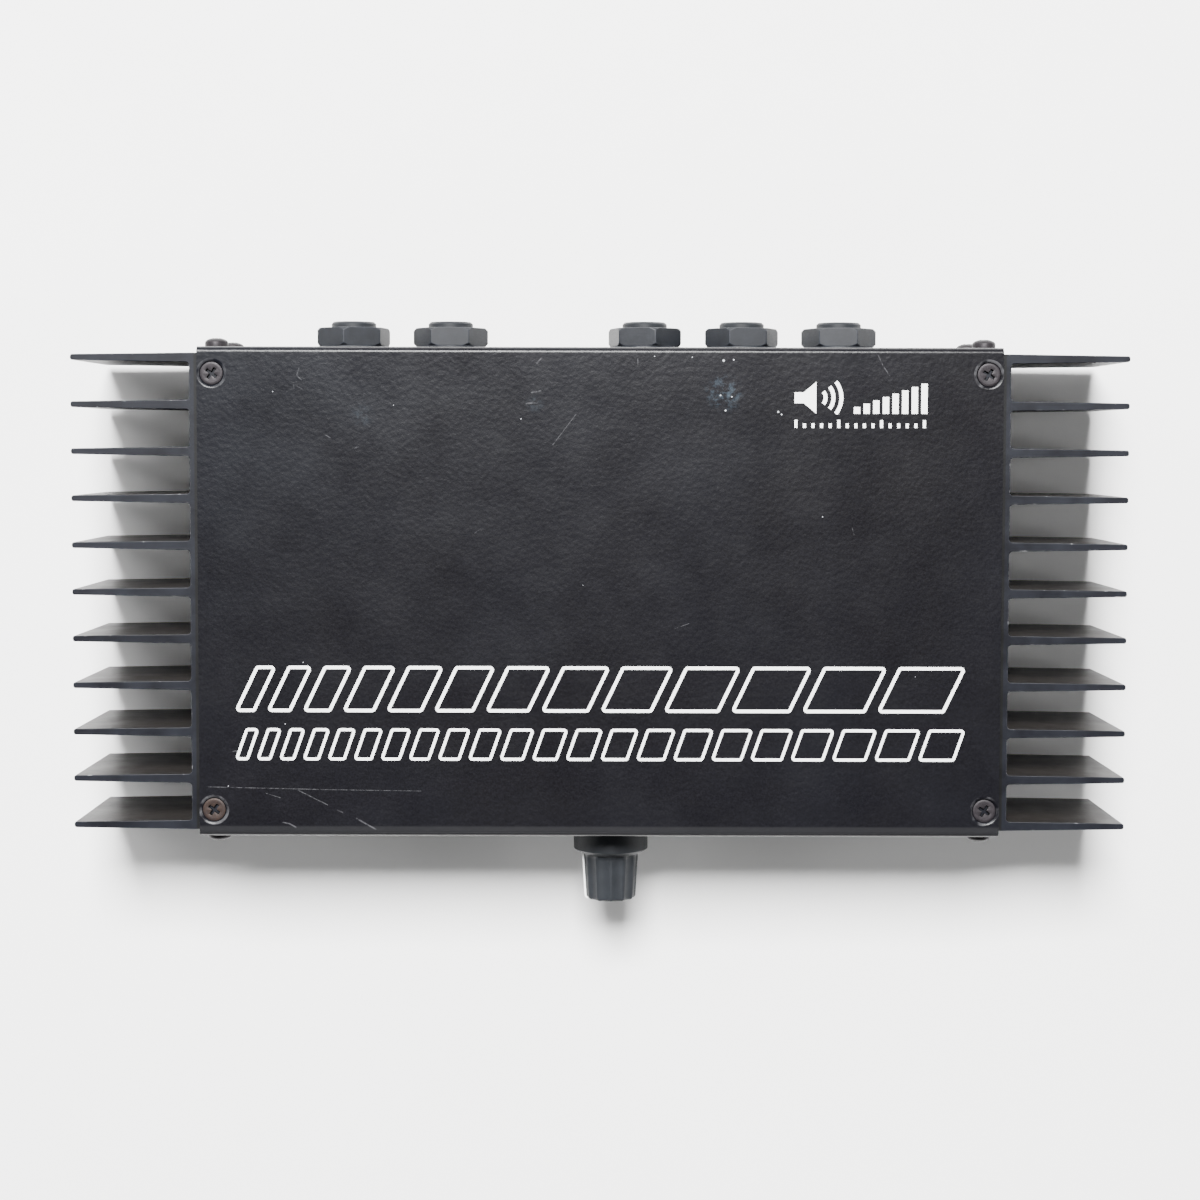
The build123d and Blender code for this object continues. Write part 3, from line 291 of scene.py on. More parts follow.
def powder_coat(name, marked):
    """Near-black powder coat with orange peel and smudges, and on the cover marks of use."""
    finish = Finish(name)
    clouds = finish.noise(60 * mm, detail=4, roughness=0.6)
    smudges = finish.noise(14 * mm, detail=6, roughness=0.7)
    grain = finish.noise(0.4 * mm, detail=2, roughness=0.6)
    peel = finish.noise(1.15 * mm, detail=2, roughness=0.4)
    low = rgb(0.0017, 0.0014, 0.0019)
    high = rgb(0.0030, 0.0030, 0.0042)
    colour = finish.blend(finish.curve(clouds, 0.3, 0.7), low, high)
    colour = finish.blend(finish.curve(grain, 0.35, 0.75, 0, 0.35), colour, rgb(0.009, 0.009, 0.012))
    roughness = finish.curve(smudges, 0.3, 0.7, 0.27, 0.34)
    # painted reflection: the coat over the front bend is lightened, standing in for the bright surroundings
    # in front that it reflects
    front_bend_sheen = finish.curve(finish.y, front_face + 2.8 * mm, front_face + 2.2 * mm, smooth=True)
    front_bend_sheen = finish.times(front_bend_sheen, finish.near(finish.z, cover_high.z, 2.0 * mm, 0.5 * mm))
    colour = finish.tint(colour, front_bend_sheen, 0.85, 0.0105, 0.0105, 0.0115)
    edge = finish.times(finish.edge(), finish.curve(finish.noise(3 * mm, detail=5), 0.45, 0.62))
    colour = finish.tint(colour, edge, 0.35, 0.10, 0.10, 0.105)
    if marked:
        top = cover_high.z - ink
        lines = [
            finish.scratch((x * mm, y * mm), (end_x * mm, end_y * mm), width * mm, top)
            for x, y, end_x, end_y, width in scratches
        ]
        broken = finish.curve(finish.noise(0.9 * mm, detail=4, roughness=0.7), 0.38, 0.58)
        lines = finish.times(finish.most(lines), broken)
        dots = finish.most([finish.spot(x * mm, y * mm, r * mm * 0.35, r * mm * 0.6) for x, y, r in chips])
        dots = finish.times(dots, finish.near(finish.z, top, 0.2 * mm, 0.1 * mm))
        chalk = finish.spot(29.6 * mm, 54.0 * mm, 1.2 * mm, 4.2 * mm)
        patchy = finish.noise(1.6 * mm, detail=7, roughness=0.75)
        chalk = finish.times(chalk, finish.curve(patchy, 0.48, 0.72))
        smears = (
            finish.spot(-15.6 * mm, 51.4 * mm, 0.6 * mm, 2.2 * mm),
            finish.spot(-57.0 * mm, 48.6 * mm, 0.6 * mm, 3.0 * mm),
        )
        streaky = finish.noise(1.1 * mm, detail=6, roughness=0.7)
        smear = finish.times(finish.most(smears), finish.curve(streaky, 0.42, 0.7, 0, 0.6))
        colour = finish.tint(colour, chalk, 0.6, 0.06, 0.085, 0.11)
        colour = finish.tint(colour, smear, 0.6, 0.04, 0.05, 0.06)
        colour = finish.tint(colour, lines, 0.5, 0.08, 0.08, 0.085)
        colour = finish.blend(dots, colour, rgb(0.40, 0.41, 0.43))
        # painted reflection: the cover is lightened and blued towards the back left corner, where it reflects
        # brighter surroundings
        back_left_sheen = finish.times(
            finish.curve(finish.x, 10 * mm, -90 * mm), finish.curve(finish.y, -20 * mm, 60 * mm)
        )
        back_left_sheen = finish.times(back_left_sheen, finish.curve(smudges, 0.3, 0.65, 0.45, 1.0))
        colour = finish.tint(colour, back_left_sheen, 0.55, 0.0036, 0.0045, 0.0070)
    finish.set(Base_Color=colour, Roughness=roughness, Specular_IOR_Level=0.16)
    finish.bumps((peel, 0.045 * mm), (grain, 0.012 * mm))
    return finish.material


def anodised():
    """Blue-black anodised extrusion: die lines along it, and bright nicks on its edges."""
    finish = Finish("anodised_extrusion")
    mottle = finish.noise(9 * mm, detail=5, roughness=0.65)
    fine = finish.noise(0.7 * mm, detail=3, roughness=0.6)
    die_lines = finish.noise(0.9 * mm, detail=2, stretch=(1, 1, 0.01))
    colour = finish.blend(
        finish.curve(mottle, 0.35, 0.68), rgb(0.0028, 0.0030, 0.0048), rgb(0.0052, 0.0060, 0.0092)
    )
    # painted light: the walls that face the back, towards the light, are tinted lighter and brownish
    facing = finish.add("ShaderNodeNewGeometry").outputs["True Normal"]
    facing = finish.add("ShaderNodeSeparateXYZ", Vector=facing)
    back_wall_light = finish.curve(facing.outputs["Y"], 0.5, 0.9)
    colour = finish.tint(colour, back_wall_light, 0.7, 0.0170, 0.0145, 0.0122)
    nicks = finish.times(
        finish.edge(), finish.curve(finish.noise(2.2 * mm, detail=6, roughness=0.75), 0.60, 0.68)
    )
    colour = finish.blend(nicks, colour, rgb(0.42, 0.42, 0.44))
    polished = finish.times(finish.edge(), finish.curve(mottle, 0.4, 0.6, 0.1, 0.4))
    colour = finish.blend(polished, colour, rgb(0.03, 0.032, 0.04))
    # painted shade: a dark line on the heatsink along the cover's edge, where the cover's edge shades it
    joint_shadow = finish.near(finish.math("ABSOLUTE", finish.x), cover_width / 2, 0.75 * mm, 0.25 * mm)
    colour = finish.tint(colour, joint_shadow, 0.9, 0.002, 0.002, 0.002)
    finish.set(Base_Color=colour, Roughness=finish.curve(mottle, 0.3, 0.7, 0.38, 0.5))
    finish.set(Metallic=finish.curve(nicks, 0, 1, 0.1, 0.9), Specular_IOR_Level=0.15)
    finish.bumps((die_lines, 0.012 * mm), (fine, 0.004 * mm))
    return finish.material


def screw_steel():
    """Blackened steel, worn brighter on its edges, with a rusty one at the front left."""
    finish = Finish("blackened_steel")
    mottle = finish.noise(1.2 * mm, detail=5, roughness=0.7)
    fine = finish.noise(0.25 * mm, detail=3)
    dark, light = rgb(0.008, 0.0066, 0.008), rgb(0.018, 0.0155, 0.0175)
    colour = finish.blend(finish.curve(mottle, 0.3, 0.7), dark, light)
    rusty_head = finish.spot(-screw_x, centre_y - screw_y, 2.6 * mm, 0.5 * mm)
    rust = finish.times(rusty_head, finish.curve(mottle, 0.2, 0.6))
    colour = finish.tint(colour, rust, 0.85, 0.022, 0.013, 0.009)
    worn = finish.times(finish.edge(), finish.curve(mottle, 0.35, 0.6, 0.2, 1.0))
    colour = finish.tint(colour, worn, 0.6, 0.13, 0.125, 0.135)
    recess = finish.add("ShaderNodeAttribute", {"attribute_name": "recess"}).outputs["Fac"]
    # painted shade: the inside of the cross recess is darkened, as shade falls in it
    colour = finish.tint(colour, recess, 0.95, 0.0008, 0.0008, 0.0008)
    roughness = finish.curve(fine, 0.3, 0.7, 0.42, 0.58)
    roughness = finish.math("MAXIMUM", roughness, finish.times(recess, 0.9))
    finish.set(Base_Color=colour, Roughness=roughness, Metallic=0.3, Specular_IOR_Level=0.2)
    finish.bumps((mottle, 0.02 * mm), (fine, 0.006 * mm))
    return finish.material


def nylon(name, dark, light, speckle=0.25, polished_x=None):
    """Moulded nylon: matte and finely speckled, paler where its edges are rubbed."""
    finish = Finish(name)
    mottle = finish.noise(3 * mm, detail=5, roughness=0.65)
    fine = finish.noise(0.35 * mm, detail=3, roughness=0.7)
    colour = finish.blend(finish.curve(mottle, 0.3, 0.7), rgb(*dark), rgb(*light))
    pale = rgb(*[min(1.0, 2.6 * part) for part in light])
    colour = finish.blend(finish.curve(fine, 0.52, 0.72, 0, speckle), colour, pale)
    rubbed = finish.times(finish.edge(), finish.curve(mottle, 0.35, 0.65, 0.1, 0.45))
    colour = finish.blend(rubbed, colour, pale)
    roughness = finish.curve(fine, 0.3, 0.7, 0.46, 0.62)
    if polished_x is not None:
        polish = finish.near(finish.x, polished_x, 10 * mm, 0.5 * mm)
        roughness = finish.minus(roughness, finish.times(polish, 0.12))
    finish.set(Base_Color=colour, Roughness=roughness, Specular_IOR_Level=0.22)
    finish.bumps((mottle, 0.02 * mm), (fine, 0.010 * mm))
    return finish.material


def white_ink():
    """Screen-printed white ink, a little uneven in its gloss and thin in places."""
    finish = Finish("white_ink")
    thin = finish.noise(0.5 * mm, detail=4, roughness=0.7)
    colour = finish.blend(finish.curve(thin, 0.62, 0.74, 0, 0.35), rgb(0.86, 0.87, 0.86), rgb(0.4, 0.4, 0.42))
    finish.set(Base_Color=colour, Roughness=finish.curve(thin, 0.3, 0.7, 0.42, 0.6))
    finish.bumps((thin, 0.004 * mm))
    return finish.material


def plain_finish(name, dark, light, roughness, metallic=0.0, grain=2 * mm, depth=0.008 * mm):
    """A moulded, rolled or plated finish with mottling, fine grain and rubbed edges."""
    finish = Finish(name)
    mottle = finish.noise(grain * 6, detail=4, roughness=0.6)
    fine = finish.noise(grain, detail=4, roughness=0.65)
    colour = finish.blend(finish.curve(mottle, 0.3, 0.7), rgb(*dark), rgb(*light))
    pale = rgb(*[min(1.0, 1.7 * part) for part in light])
    colour = finish.blend(finish.times(finish.edge(), 0.3), colour, pale)
    gloss = finish.curve(fine, 0.3, 0.7, 0.8 * roughness, min(1.0, 1.2 * roughness))
    finish.set(Base_Color=colour, Roughness=gloss, Metallic=metallic)
    finish.bumps((fine, depth))
    return finish.material


def circuit_board():
    """Green solder mask over copper tracks, with a weave showing through."""
    finish = Finish("circuit_board")
    tracks = finish.add("ShaderNodeTexBrick", Vector=finish.place, Scale=1 / (9 * mm), Color1=rgb(1, 1, 1))
    tracks.inputs["Color2"].default_value = rgb(1, 1, 1)
    tracks.inputs["Mortar"].default_value = rgb(0, 0, 0)
    tracks.inputs["Mortar Size"].default_value = 0.05
    mask = finish.noise(4 * mm, detail=3)
    colour = finish.blend(finish.curve(mask, 0.3, 0.7), rgb(0.008, 0.075, 0.032), rgb(0.012, 0.10, 0.045))
    colour = finish.tint(colour, tracks.outputs["Fac"], 0.7, 0.03, 0.2, 0.08)
    finish.set(Base_Color=colour, Roughness=finish.curve(mask, 0.3, 0.7, 0.26, 0.38))
    finish.bumps((tracks.outputs["Fac"], 0.035 * mm), (finish.noise(0.5 * mm), 0.006 * mm))
    return finish.material


def lens():
    """The tinted lens of the power indicator."""
    finish = Finish("green_lens")
    swirl = finish.noise(1.2 * mm, detail=3)
    finish.set(Base_Color=finish.blend(swirl, rgb(0.03, 0.30, 0.05), rgb(0.06, 0.42, 0.09)))
    finish.set(Roughness=finish.curve(swirl, 0.3, 0.7, 0.12, 0.22), Transmission_Weight=0.35)
    finish.bumps((swirl, 0.004 * mm))
    return finish.material


polished_x = (polished_low.x + polished_high.x) / 2  # of the one glossy nut
nut_dark, nut_light = (0.0051, 0.0057, 0.0073), (0.0088, 0.0099, 0.0126)
jack_dark, jack_light = (0.0055, 0.0063, 0.0079), (0.0091, 0.0103, 0.0126)
knob_dark, knob_light = (0.0070, 0.0080, 0.0098), (0.0102, 0.0118, 0.0145)
finishes = {
    "cover_coat": powder_coat("powder_coat", marked=False),
    "heatsink_anodised": anodised(),
    "screw_steel": screw_steel(),
    "jack_plastic": nylon("jack_nylon", jack_dark, jack_light),
    "nut_plastic": nylon("nut_nylon", nut_dark, nut_light, polished_x=polished_x),
    "knob_plastic": nylon("knob_plastic", knob_dark, knob_light, speckle=0.12),
    "pointer_white": white_ink(),
    "indicator_lens": lens(),
    "circuit_board": circuit_board(),
}
# slot, name, dark colour, light colour, roughness, then metallic share and grain size where they differ
for slot_name, *looks in (
    ("control_metal", "nickel_plate", (0.45, 0.44, 0.41), (0.6, 0.58, 0.54), 0.3, 1.0, 0.8 * mm),
    ("contact_metal", "phosphor_bronze", (0.55, 0.47, 0.35), (0.7, 0.62, 0.48), 0.28, 1.0, 0.8 * mm),
    ("track_board", "phenolic_board", (0.12, 0.06, 0.025), (0.18, 0.09, 0.04), 0.55),
    ("chip_epoxy", "chip_epoxy", (0.012, 0.012, 0.012), (0.02, 0.02, 0.02), 0.6, 0, 0.6 * mm),
    ("thermal_pad", "silicone_pad", (0.26, 0.26, 0.29), (0.34, 0.34, 0.38), 0.8),
    ("clamp_aluminium", "mill_aluminium", (0.5, 0.5, 0.51), (0.62, 0.62, 0.63), 0.4, 1.0),
    ("capacitor_sleeve", "shrink_sleeve", (0.012, 0.016, 0.05), (0.02, 0.026, 0.07), 0.3),
    ("ferrite", "coated_core", (0.16, 0.18, 0.05), (0.22, 0.25, 0.07), 0.5),
    ("copper_wire", "enamelled_copper", (0.5, 0.17, 0.05), (0.66, 0.25, 0.09), 0.3, 0.9),
    ("film_cap_case", "potted_case", (0.25, 0.03, 0.015), (0.34, 0.05, 0.025), 0.4),
    ("resistor_body", "resistor_lacquer", (0.10, 0.22, 0.32), (0.15, 0.30, 0.42), 0.45),
    ("relay_case", "relay_case", (0.008, 0.008, 0.009), (0.014, 0.014, 0.016), 0.35),
    ("foot_rubber", "foot_rubber", (0.008, 0.008, 0.008), (0.013, 0.013, 0.013), 0.85, 0, 0.5 * mm),
):
    finishes[slot_name] = plain_finish(*looks)
slot_of_node = {part["node"]: part["material_slot"] for part in frame["record"]["subparts"]}
for node_name, node_object in frame["nodes"].items():
    node_object.data.materials.clear()
    node_object.data.materials.append(finishes[slot_of_node[node_name]])


# ------ mesh work
def on_bench(mesh):
    """A mesh laid out to be worked on."""
    work = bmesh.new()
    work.from_mesh(mesh)
    return work


def off_bench(work, mesh):
    """What was worked on, put into a mesh."""
    work.to_mesh(mesh)
    work.free()
    return mesh


def bench_copy(node, name):
    """A copy of a node's mesh with its triangles joined."""
    work = on_bench(frame["nodes"][node].data)
    bmesh.ops.remove_doubles(work, verts=work.verts, dist=0.001 * mm)
    return off_bench(work, bpy.data.meshes.new(name))


def soften(mesh, width, segments=2, sharp=25.0, choose=None):
    """Round the sharp edges of a mesh, and mark the rounding faces in its edge attribute."""
    work = on_bench(mesh)
    marks = work.faces.layers.float.get("edge") or work.faces.layers.float.new("edge")
    edges = [
        edge
        for edge in work.edges
        if len(edge.link_faces) == 2
        and edge.calc_face_angle(0) > math.radians(sharp)
        and (choose is None or choose(edge))
    ]
    rounded = bmesh.ops.bevel(
        work, geom=edges, offset=width, offset_type="OFFSET", segments=segments, profile=0.5,
        affect="EDGES", clamp_overlap=True,
    )
    for face in rounded["faces"]:
        if face.is_valid:
            face[marks] = 1.0
    return off_bench(work, mesh)


def lathe(name, outline, segments):
    """A closed body turned about Z from (radius, height) points that start and end on the axis."""
    work = bmesh.new()
    rings = []
    turns = [2 * math.pi * step / segments for step in range(segments)]
    for radius, height in outline:
        ring = [(radius * math.cos(turn), radius * math.sin(turn), height) for turn in turns]
        if radius == 0:
            ring = [(0, 0, height)]
        rings.append([work.verts.new(place) for place in ring])
    for lower, upper in zip(rings, rings[1:]):
        for step in range(segments):
            after = (step + 1) % segments
            if len(lower) == 1:
                work.faces.new((lower[0], upper[step], upper[after]))
            elif len(upper) == 1:
                work.faces.new((lower[step], lower[after], upper[0]))
            else:
                work.faces.new((lower[step], lower[after], upper[after], upper[step]))
    bmesh.ops.recalc_face_normals(work, faces=work.faces)
    return off_bench(work, bpy.data.meshes.new(name))


def arc_points(centre, radius, start, end, steps):
    """Points on an arc, angles in degrees."""
    angles = [math.radians(start + (end - start) * step / steps) for step in range(steps + 1)]
    return [(centre[0] + radius * math.cos(a), centre[1] + radius * math.sin(a)) for a in angles]


def prism(name, outline, low, high):
    """A closed upright prism on an outline."""
    work = bmesh.new()
    face = work.faces.new([work.verts.new((x, y, low)) for x, y in outline])
    top = bmesh.ops.extrude_face_region(work, geom=[face])["geom"]
    moved = [part for part in top if isinstance(part, bmesh.types.BMVert)]
    bmesh.ops.translate(work, verts=moved, vec=(0, 0, high - low))
    bmesh.ops.recalc_face_normals(work, faces=work.faces)
    return off_bench(work, bpy.data.meshes.new(name))


def joined(name, meshes):
    """Several meshes as one."""
    work = bmesh.new()
    for mesh in meshes:
        work.from_mesh(mesh)
    return off_bench(work, bpy.data.meshes.new(name))


def in_scene(name, data):
    """An object of a mesh, a light or a camera, linked to the scene."""
    thing = bpy.data.objects.new(name, data)
    bpy.context.scene.collection.objects.link(thing)
    return thing


def plain_mesh(thing):
    """The mesh of an object with its modifiers applied. The object is removed."""
    graph = bpy.context.evaluated_depsgraph_get()
    mesh = bpy.data.meshes.new_from_object(thing.evaluated_get(graph))
    mesh.name = thing.name
    bpy.data.objects.remove(thing)
    return mesh


def cut(mesh, cutter_mesh):
    """A mesh with another cut out of it."""
    body = in_scene(mesh.name, mesh)
    cutter = in_scene(cutter_mesh.name, cutter_mesh)
    boolean = body.modifiers.new("cut", "BOOLEAN")
    boolean.operation = "DIFFERENCE"
    boolean.solver = "EXACT"
    boolean.object = cutter
    result = plain_mesh(body)
    bpy.data.objects.remove(cutter)
    return result


def piece(name, mesh, slot, body, *nodes, finish=None, turn_smooth=40.0):
    """A finished piece: its material, its shading, its body and the nodes it stands for."""
    mesh.materials.clear()
    mesh.materials.append(finish or finishes[slot])
    mesh.polygons.foreach_set("material_index", [0] * len(mesh.polygons))
    mesh.shade_smooth()
    mesh.set_sharp_from_angle(angle=math.radians(turn_smooth))
    thing = in_scene(name, mesh)
    shading = thing.modifiers.new("even_shading", "WEIGHTED_NORMAL")
    shading.keep_sharp = True
    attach(thing, body)
    if nodes:
        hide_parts(*nodes)
    return thing


# ------ geometry trees
class Maker(Tree):
    """A geometry tree whose inputs are named by kind, which ends in one plain mesh of one finish."""

    def __init__(self, name, **kinds):
        super().__init__(bpy.data.node_groups.new(name, "GeometryNodeTree"))
        self.source = self.add("NodeGroupInput").outputs
        self.identifiers = {}
        for kind, keys in {**kinds, "Material": "Finish"}.items():
            for key in keys.split():
                label, socket_type = key.replace("_", " "), f"NodeSocket{kind}"
                item = self.tree.interface.new_socket(label, in_out="INPUT", socket_type=socket_type)
                self.identifiers[key] = item.identifier
        self.tree.interface.new_socket("Result", in_out="OUTPUT", socket_type="NodeSocketGeometry")

    def __getitem__(self, key):
        return self.source[key.replace("_", " ")]

    def end(self, geometry):
        """Make the result real and give it its finish."""
        real = self.out("GeometryNodeRealizeInstances", Geometry=geometry)
        dressed = self.out("GeometryNodeSetMaterial", Geometry=real, Material=self["Finish"])
        self.add("NodeGroupOutput", Result=dressed)

    def make(self, name, base=None, **values):
        """Run the tree once and return its result as a plain mesh."""
        host = in_scene(name, base or bpy.data.meshes.new(name))
        modifier = host.modifiers.new(name, "NODES")
        modifier.node_group = self.tree
        for key, value in values.items():
            modifier[self.identifiers[key]] = value
        return plain_mesh(host)


def four_by_four(tree):
    """Points counted in fours: the count, which four, which corner, and 1 at its two middle ones."""
    index = tree.out("GeometryNodeInputIndex")
    four = tree.math("FLOOR", tree.math("DIVIDE", index, 4))
    corner = tree.math("MODULO", index, 4)
    middle = tree.math("LESS_THAN", tree.math("ABSOLUTE", tree.minus(corner, 1.5)), 1)
    return index, four, corner, middle


def heatsink_maker():
    """The heatsink's section as one outline of tapered fins on a base, drawn up to its height."""
    tree = Maker(
        "finned_extrusion",
        Int="Fins",
        Float="Length Base_Inner Base_Outer Fin_Tip_X Root_Thickness Tip_Thickness "
        "Root_Radius Tip_Radius Centre_Y Bottom Height",
    )
    index, fin, corner, at_tip = four_by_four(tree)
    fin_points = tree.times(tree["Fins"], 4)
    on_base = tree.math("GREATER_THAN", index, tree.minus(fin_points, 0.5))
    beyond = tree.math("SIGN", tree.minus(corner, 1.5))

    def pick(share, low, high):
        """low where share is 0, high where it is 1."""
        return tree.math("MULTIPLY_ADD", share, tree.minus(high, low), low)

    thickness = pick(at_tip, tree["Root_Thickness"], tree["Tip_Thickness"])
    run = tree.minus(tree["Length"], tree["Root_Thickness"])
    pitch = tree.math("DIVIDE", run, tree.minus(tree["Fins"], 1))
    middle = tree.math("MULTIPLY_ADD", fin, pitch, tree.times(run, -0.5))
    fin_y = tree.math("MULTIPLY_ADD", beyond, tree.times(thickness, 0.5), middle)
    base_side = pick(corner, 1, -1)
    base_y = tree.times(base_side, tree.times(tree["Length"], 0.5))
    fin_x = pick(at_tip, tree["Base_Outer"], tree["Fin_Tip_X"])
    place_x = pick(on_base, fin_x, tree["Base_Inner"])
    place_y = tree.math("ADD", pick(on_base, fin_y, base_y), tree["Centre_Y"])
    place = tree.point(X=place_x, Y=place_y)
    points = tree.out("GeometryNodePoints", Count=tree.math("ADD", fin_points, 2), Position=place)
    outline = tree.out("GeometryNodePointsToCurves", Points=points)
    outline = tree.out("GeometryNodeSetSplineCyclic", Geometry=outline, Cyclic=True)
    last = tree.minus(fin_points, 1)
    inner = tree.times(
        tree.math("GREATER_THAN", index, 0.5),
        tree.math("LESS_THAN", index, tree.minus(last, 0.5)),
    )
    root = tree.times(inner, tree["Root_Radius"])
    radius = pick(on_base, pick(at_tip, root, tree["Tip_Radius"]), 0.0)
    rounded = tree.out("GeometryNodeFilletCurve", {"mode": "POLY"}, Curve=outline, Count=5, Radius=radius)
    section = tree.out("GeometryNodeFillCurve", {"mode": "NGONS"}, Curve=rounded)
    rise = tree.point(Z=tree["Height"])
    walls = tree.out("GeometryNodeExtrudeMesh", Mesh=section, Offset=rise, Individual=False)
    floor = tree.out("GeometryNodeFlipFaces", Mesh=section)
    whole = tree.add("GeometryNodeJoinGeometry")
    tree.tree.links.new(walls, whole.inputs[0])
    tree.tree.links.new(floor, whole.inputs[0])
    merged = tree.out("GeometryNodeMergeByDistance", Geometry=whole.outputs[0], Distance=0.001 * mm)
    lift = tree.point(Z=tree["Bottom"])
    raised = tree.out("GeometryNodeTransform", Geometry=merged, Translation=lift)
    tree.end(raised)
    return tree


def corners_maker():
    """One part at each corner of a rectangle, each turned by its own amount about its axis."""
    tree = Maker(
        "at_four_corners",
        Object="Part",
        Float="Across Along Least_Turn Most_Turn",
        Int="Seed",
        Vector="Centre Direction",
    )
    grid = tree.add(
        "GeometryNodeMeshGrid", Size_X=tree["Across"], Size_Y=tree["Along"], Vertices_X=2, Vertices_Y=2
    )
    part = tree.add("GeometryNodeObjectInfo", Object=tree["Part"]).outputs["Geometry"]
    random_turn = tree.add("FunctionNodeRandomValue", {"data_type": "FLOAT"}, Seed=tree["Seed"])
    tree.feed(random_turn.inputs[2], tree["Least_Turn"])
    tree.feed(random_turn.inputs[3], tree["Most_Turn"])
    turn = tree.point(Z=random_turn.outputs[1])
    placed = tree.out(
        "GeometryNodeInstanceOnPoints", Points=grid.outputs["Mesh"], Instance=part, Rotation=turn
    )
    moved = tree.out(
        "GeometryNodeTransform",
        Geometry=placed,
        Translation=tree["Centre"],
        Rotation=tree["Direction"],
    )
    tree.end(moved)
    return tree


def bars_maker():
    """A printed row of slanted outlined bars that widen along the row."""
    tree = Maker(
        "outlined_bars",
        Int="Bars",
        Float="Row_Width Height Slant Narrowest Widest Stroke Thickness Corner",
        Vector="Centre",
    )
    index, bar, corner, upper = four_by_four(tree)
    right = tree.math("GREATER_THAN", corner, 1.5)
    last = tree.minus(tree["Bars"], 1)
    share = tree.math("DIVIDE", bar, last)
    growth = tree.minus(tree["Widest"], tree["Narrowest"])
    width = tree.math("MULTIPLY_ADD", share, growth, tree["Narrowest"])
    # the bars before this one take up their widths, and the gaps share what is left
    before = tree.math(
        "MULTIPLY_ADD",
        tree.times(tree.times(bar, tree.minus(bar, 1)), 0.5),
        tree.math("DIVIDE", growth, last),
        tree.times(bar, tree["Narrowest"]),
    )
    mean_width = tree.times(tree.math("ADD", tree["Widest"], tree["Narrowest"]), 0.5)
    all_bars = tree.times(tree["Bars"], mean_width)
    free = tree.minus(tree.minus(tree["Row_Width"], tree["Slant"]), all_bars)
    gap = tree.math("DIVIDE", free, last)
    start = tree.math("MULTIPLY_ADD", tree["Row_Width"], -0.5, tree.math("MULTIPLY_ADD", bar, gap, before))
    place_x = tree.math(
        "ADD", tree.math("MULTIPLY_ADD", right, width, start), tree.times(upper, tree["Slant"])
    )
    place_y = tree.times(tree.minus(upper, 0.5), tree["Height"])
    place = tree.point(X=place_x, Y=place_y)
    count = tree.times(tree["Bars"], 4)
    points = tree.out("GeometryNodePoints", Count=count, Position=place)
    outlines = tree.out("GeometryNodePointsToCurves", Points=points, Curve_Group_ID=bar, Weight=index)
    closed = tree.out("GeometryNodeSetSplineCyclic", Geometry=outlines, Cyclic=True)
    rounded = tree.out(
        "GeometryNodeFilletCurve", {"mode": "POLY"}, Curve=closed, Count=4, Radius=tree["Corner"]
    )
    level = tree.out("GeometryNodeSetCurveNormal", {"mode": "Z_UP"}, Curve=rounded)
    stroke = tree.out(
        "GeometryNodeCurvePrimitiveQuadrilateral", Width=tree["Stroke"], Height=tree["Thickness"]
    )
    inked = tree.out("GeometryNodeCurveToMesh", Curve=level, Profile_Curve=stroke)
    moved = tree.out("GeometryNodeTransform", Geometry=inked, Translation=tree["Centre"])
    tree.end(moved)
    return tree


def flute_maker():
    """Shallow round flutes along a turned grip, cut in towards its axis."""
    tree = Maker(
        "fluted_grip",
        Geometry="Geometry",
        Int="Flutes",
        Float="Cutter_Radius Depth Grip_Start Grip_Radius",
    )
    place = tree.out("GeometryNodeInputPosition")
    parts = tree.add("ShaderNodeSeparateXYZ", Vector=place).outputs
    angle = tree.math("ARCTAN2", parts["Y"], parts["X"])
    step = tree.math("DIVIDE", 2 * math.pi, tree["Flutes"])
    past_ridge = tree.math("FLOORED_MODULO", angle, step)
    off_centre = tree.minus(past_ridge, tree.times(step, 0.5))
    flat = tree.point(X=parts["X"], Y=parts["Y"])
    radius = tree.vector("LENGTH", flat).outputs["Value"]
    sideways = tree.times(off_centre, radius)
    cutter_squared = tree.math("POWER", tree["Cutter_Radius"], 2)
    squared = tree.minus(cutter_squared, tree.math("POWER", sideways, 2))
    reach = tree.math("SQRT", tree.math("MAXIMUM", squared, 0))
    deepest = tree.minus(tree["Cutter_Radius"], tree["Depth"])
    groove = tree.math("MAXIMUM", tree.minus(reach, deepest), 0)
    on_grip = tree.times(
        tree.math("GREATER_THAN", parts["Z"], tree["Grip_Start"]),
        tree.math("GREATER_THAN", radius, tree["Grip_Radius"]),
    )
    outward = tree.vector("NORMALIZE", flat).outputs["Vector"]
    amount = tree.times(tree.times(groove, on_grip), -1)
    inward = tree.add("ShaderNodeVectorMath", {"operation": "SCALE"}, Scale=amount)
    tree.feed(inward.inputs[0], outward)
    fluted = tree.out("GeometryNodeSetPosition", Geometry=tree["Geometry"], Offset=inward.outputs["Vector"])
    tree.end(fluted)
    return tree


# ------ heatsinks
def make_heatsinks():
    """Both heatsinks, with rounded fin tips, filleted roots and a broken edge all round."""
    maker = heatsink_maker()
    for name, low, high, side in (("left", left_low, left_high, -1), ("right", right_low, right_high, 1)):
        outer, inner = (high.x, low.x) if side > 0 else (low.x, high.x)
        mesh = maker.make(
            f"{name}_finned_heatsink",
            Fins=fin_count, Length=high.y - low.y, Base_Inner=inner,
            Base_Outer=outer - side * fin_depth, Fin_Tip_X=outer, Root_Thickness=fin_root,
            Tip_Thickness=fin_tip, Root_Radius=fin_root_radius, Tip_Radius=fin_tip_radius,
            Centre_Y=centre_y, Bottom=low.z, Height=high.z - low.z,
            Finish=finishes["heatsink_anodised"],
        )
        work = on_bench(mesh)
        bmesh.ops.recalc_face_normals(work, faces=work.faces)
        soften(off_bench(work, mesh), 0.15 * mm, sharp=60)
        piece(f"{name}_finned_heatsink", mesh, "heatsink_anodised", "amplifier", f"{name}_heatsink")


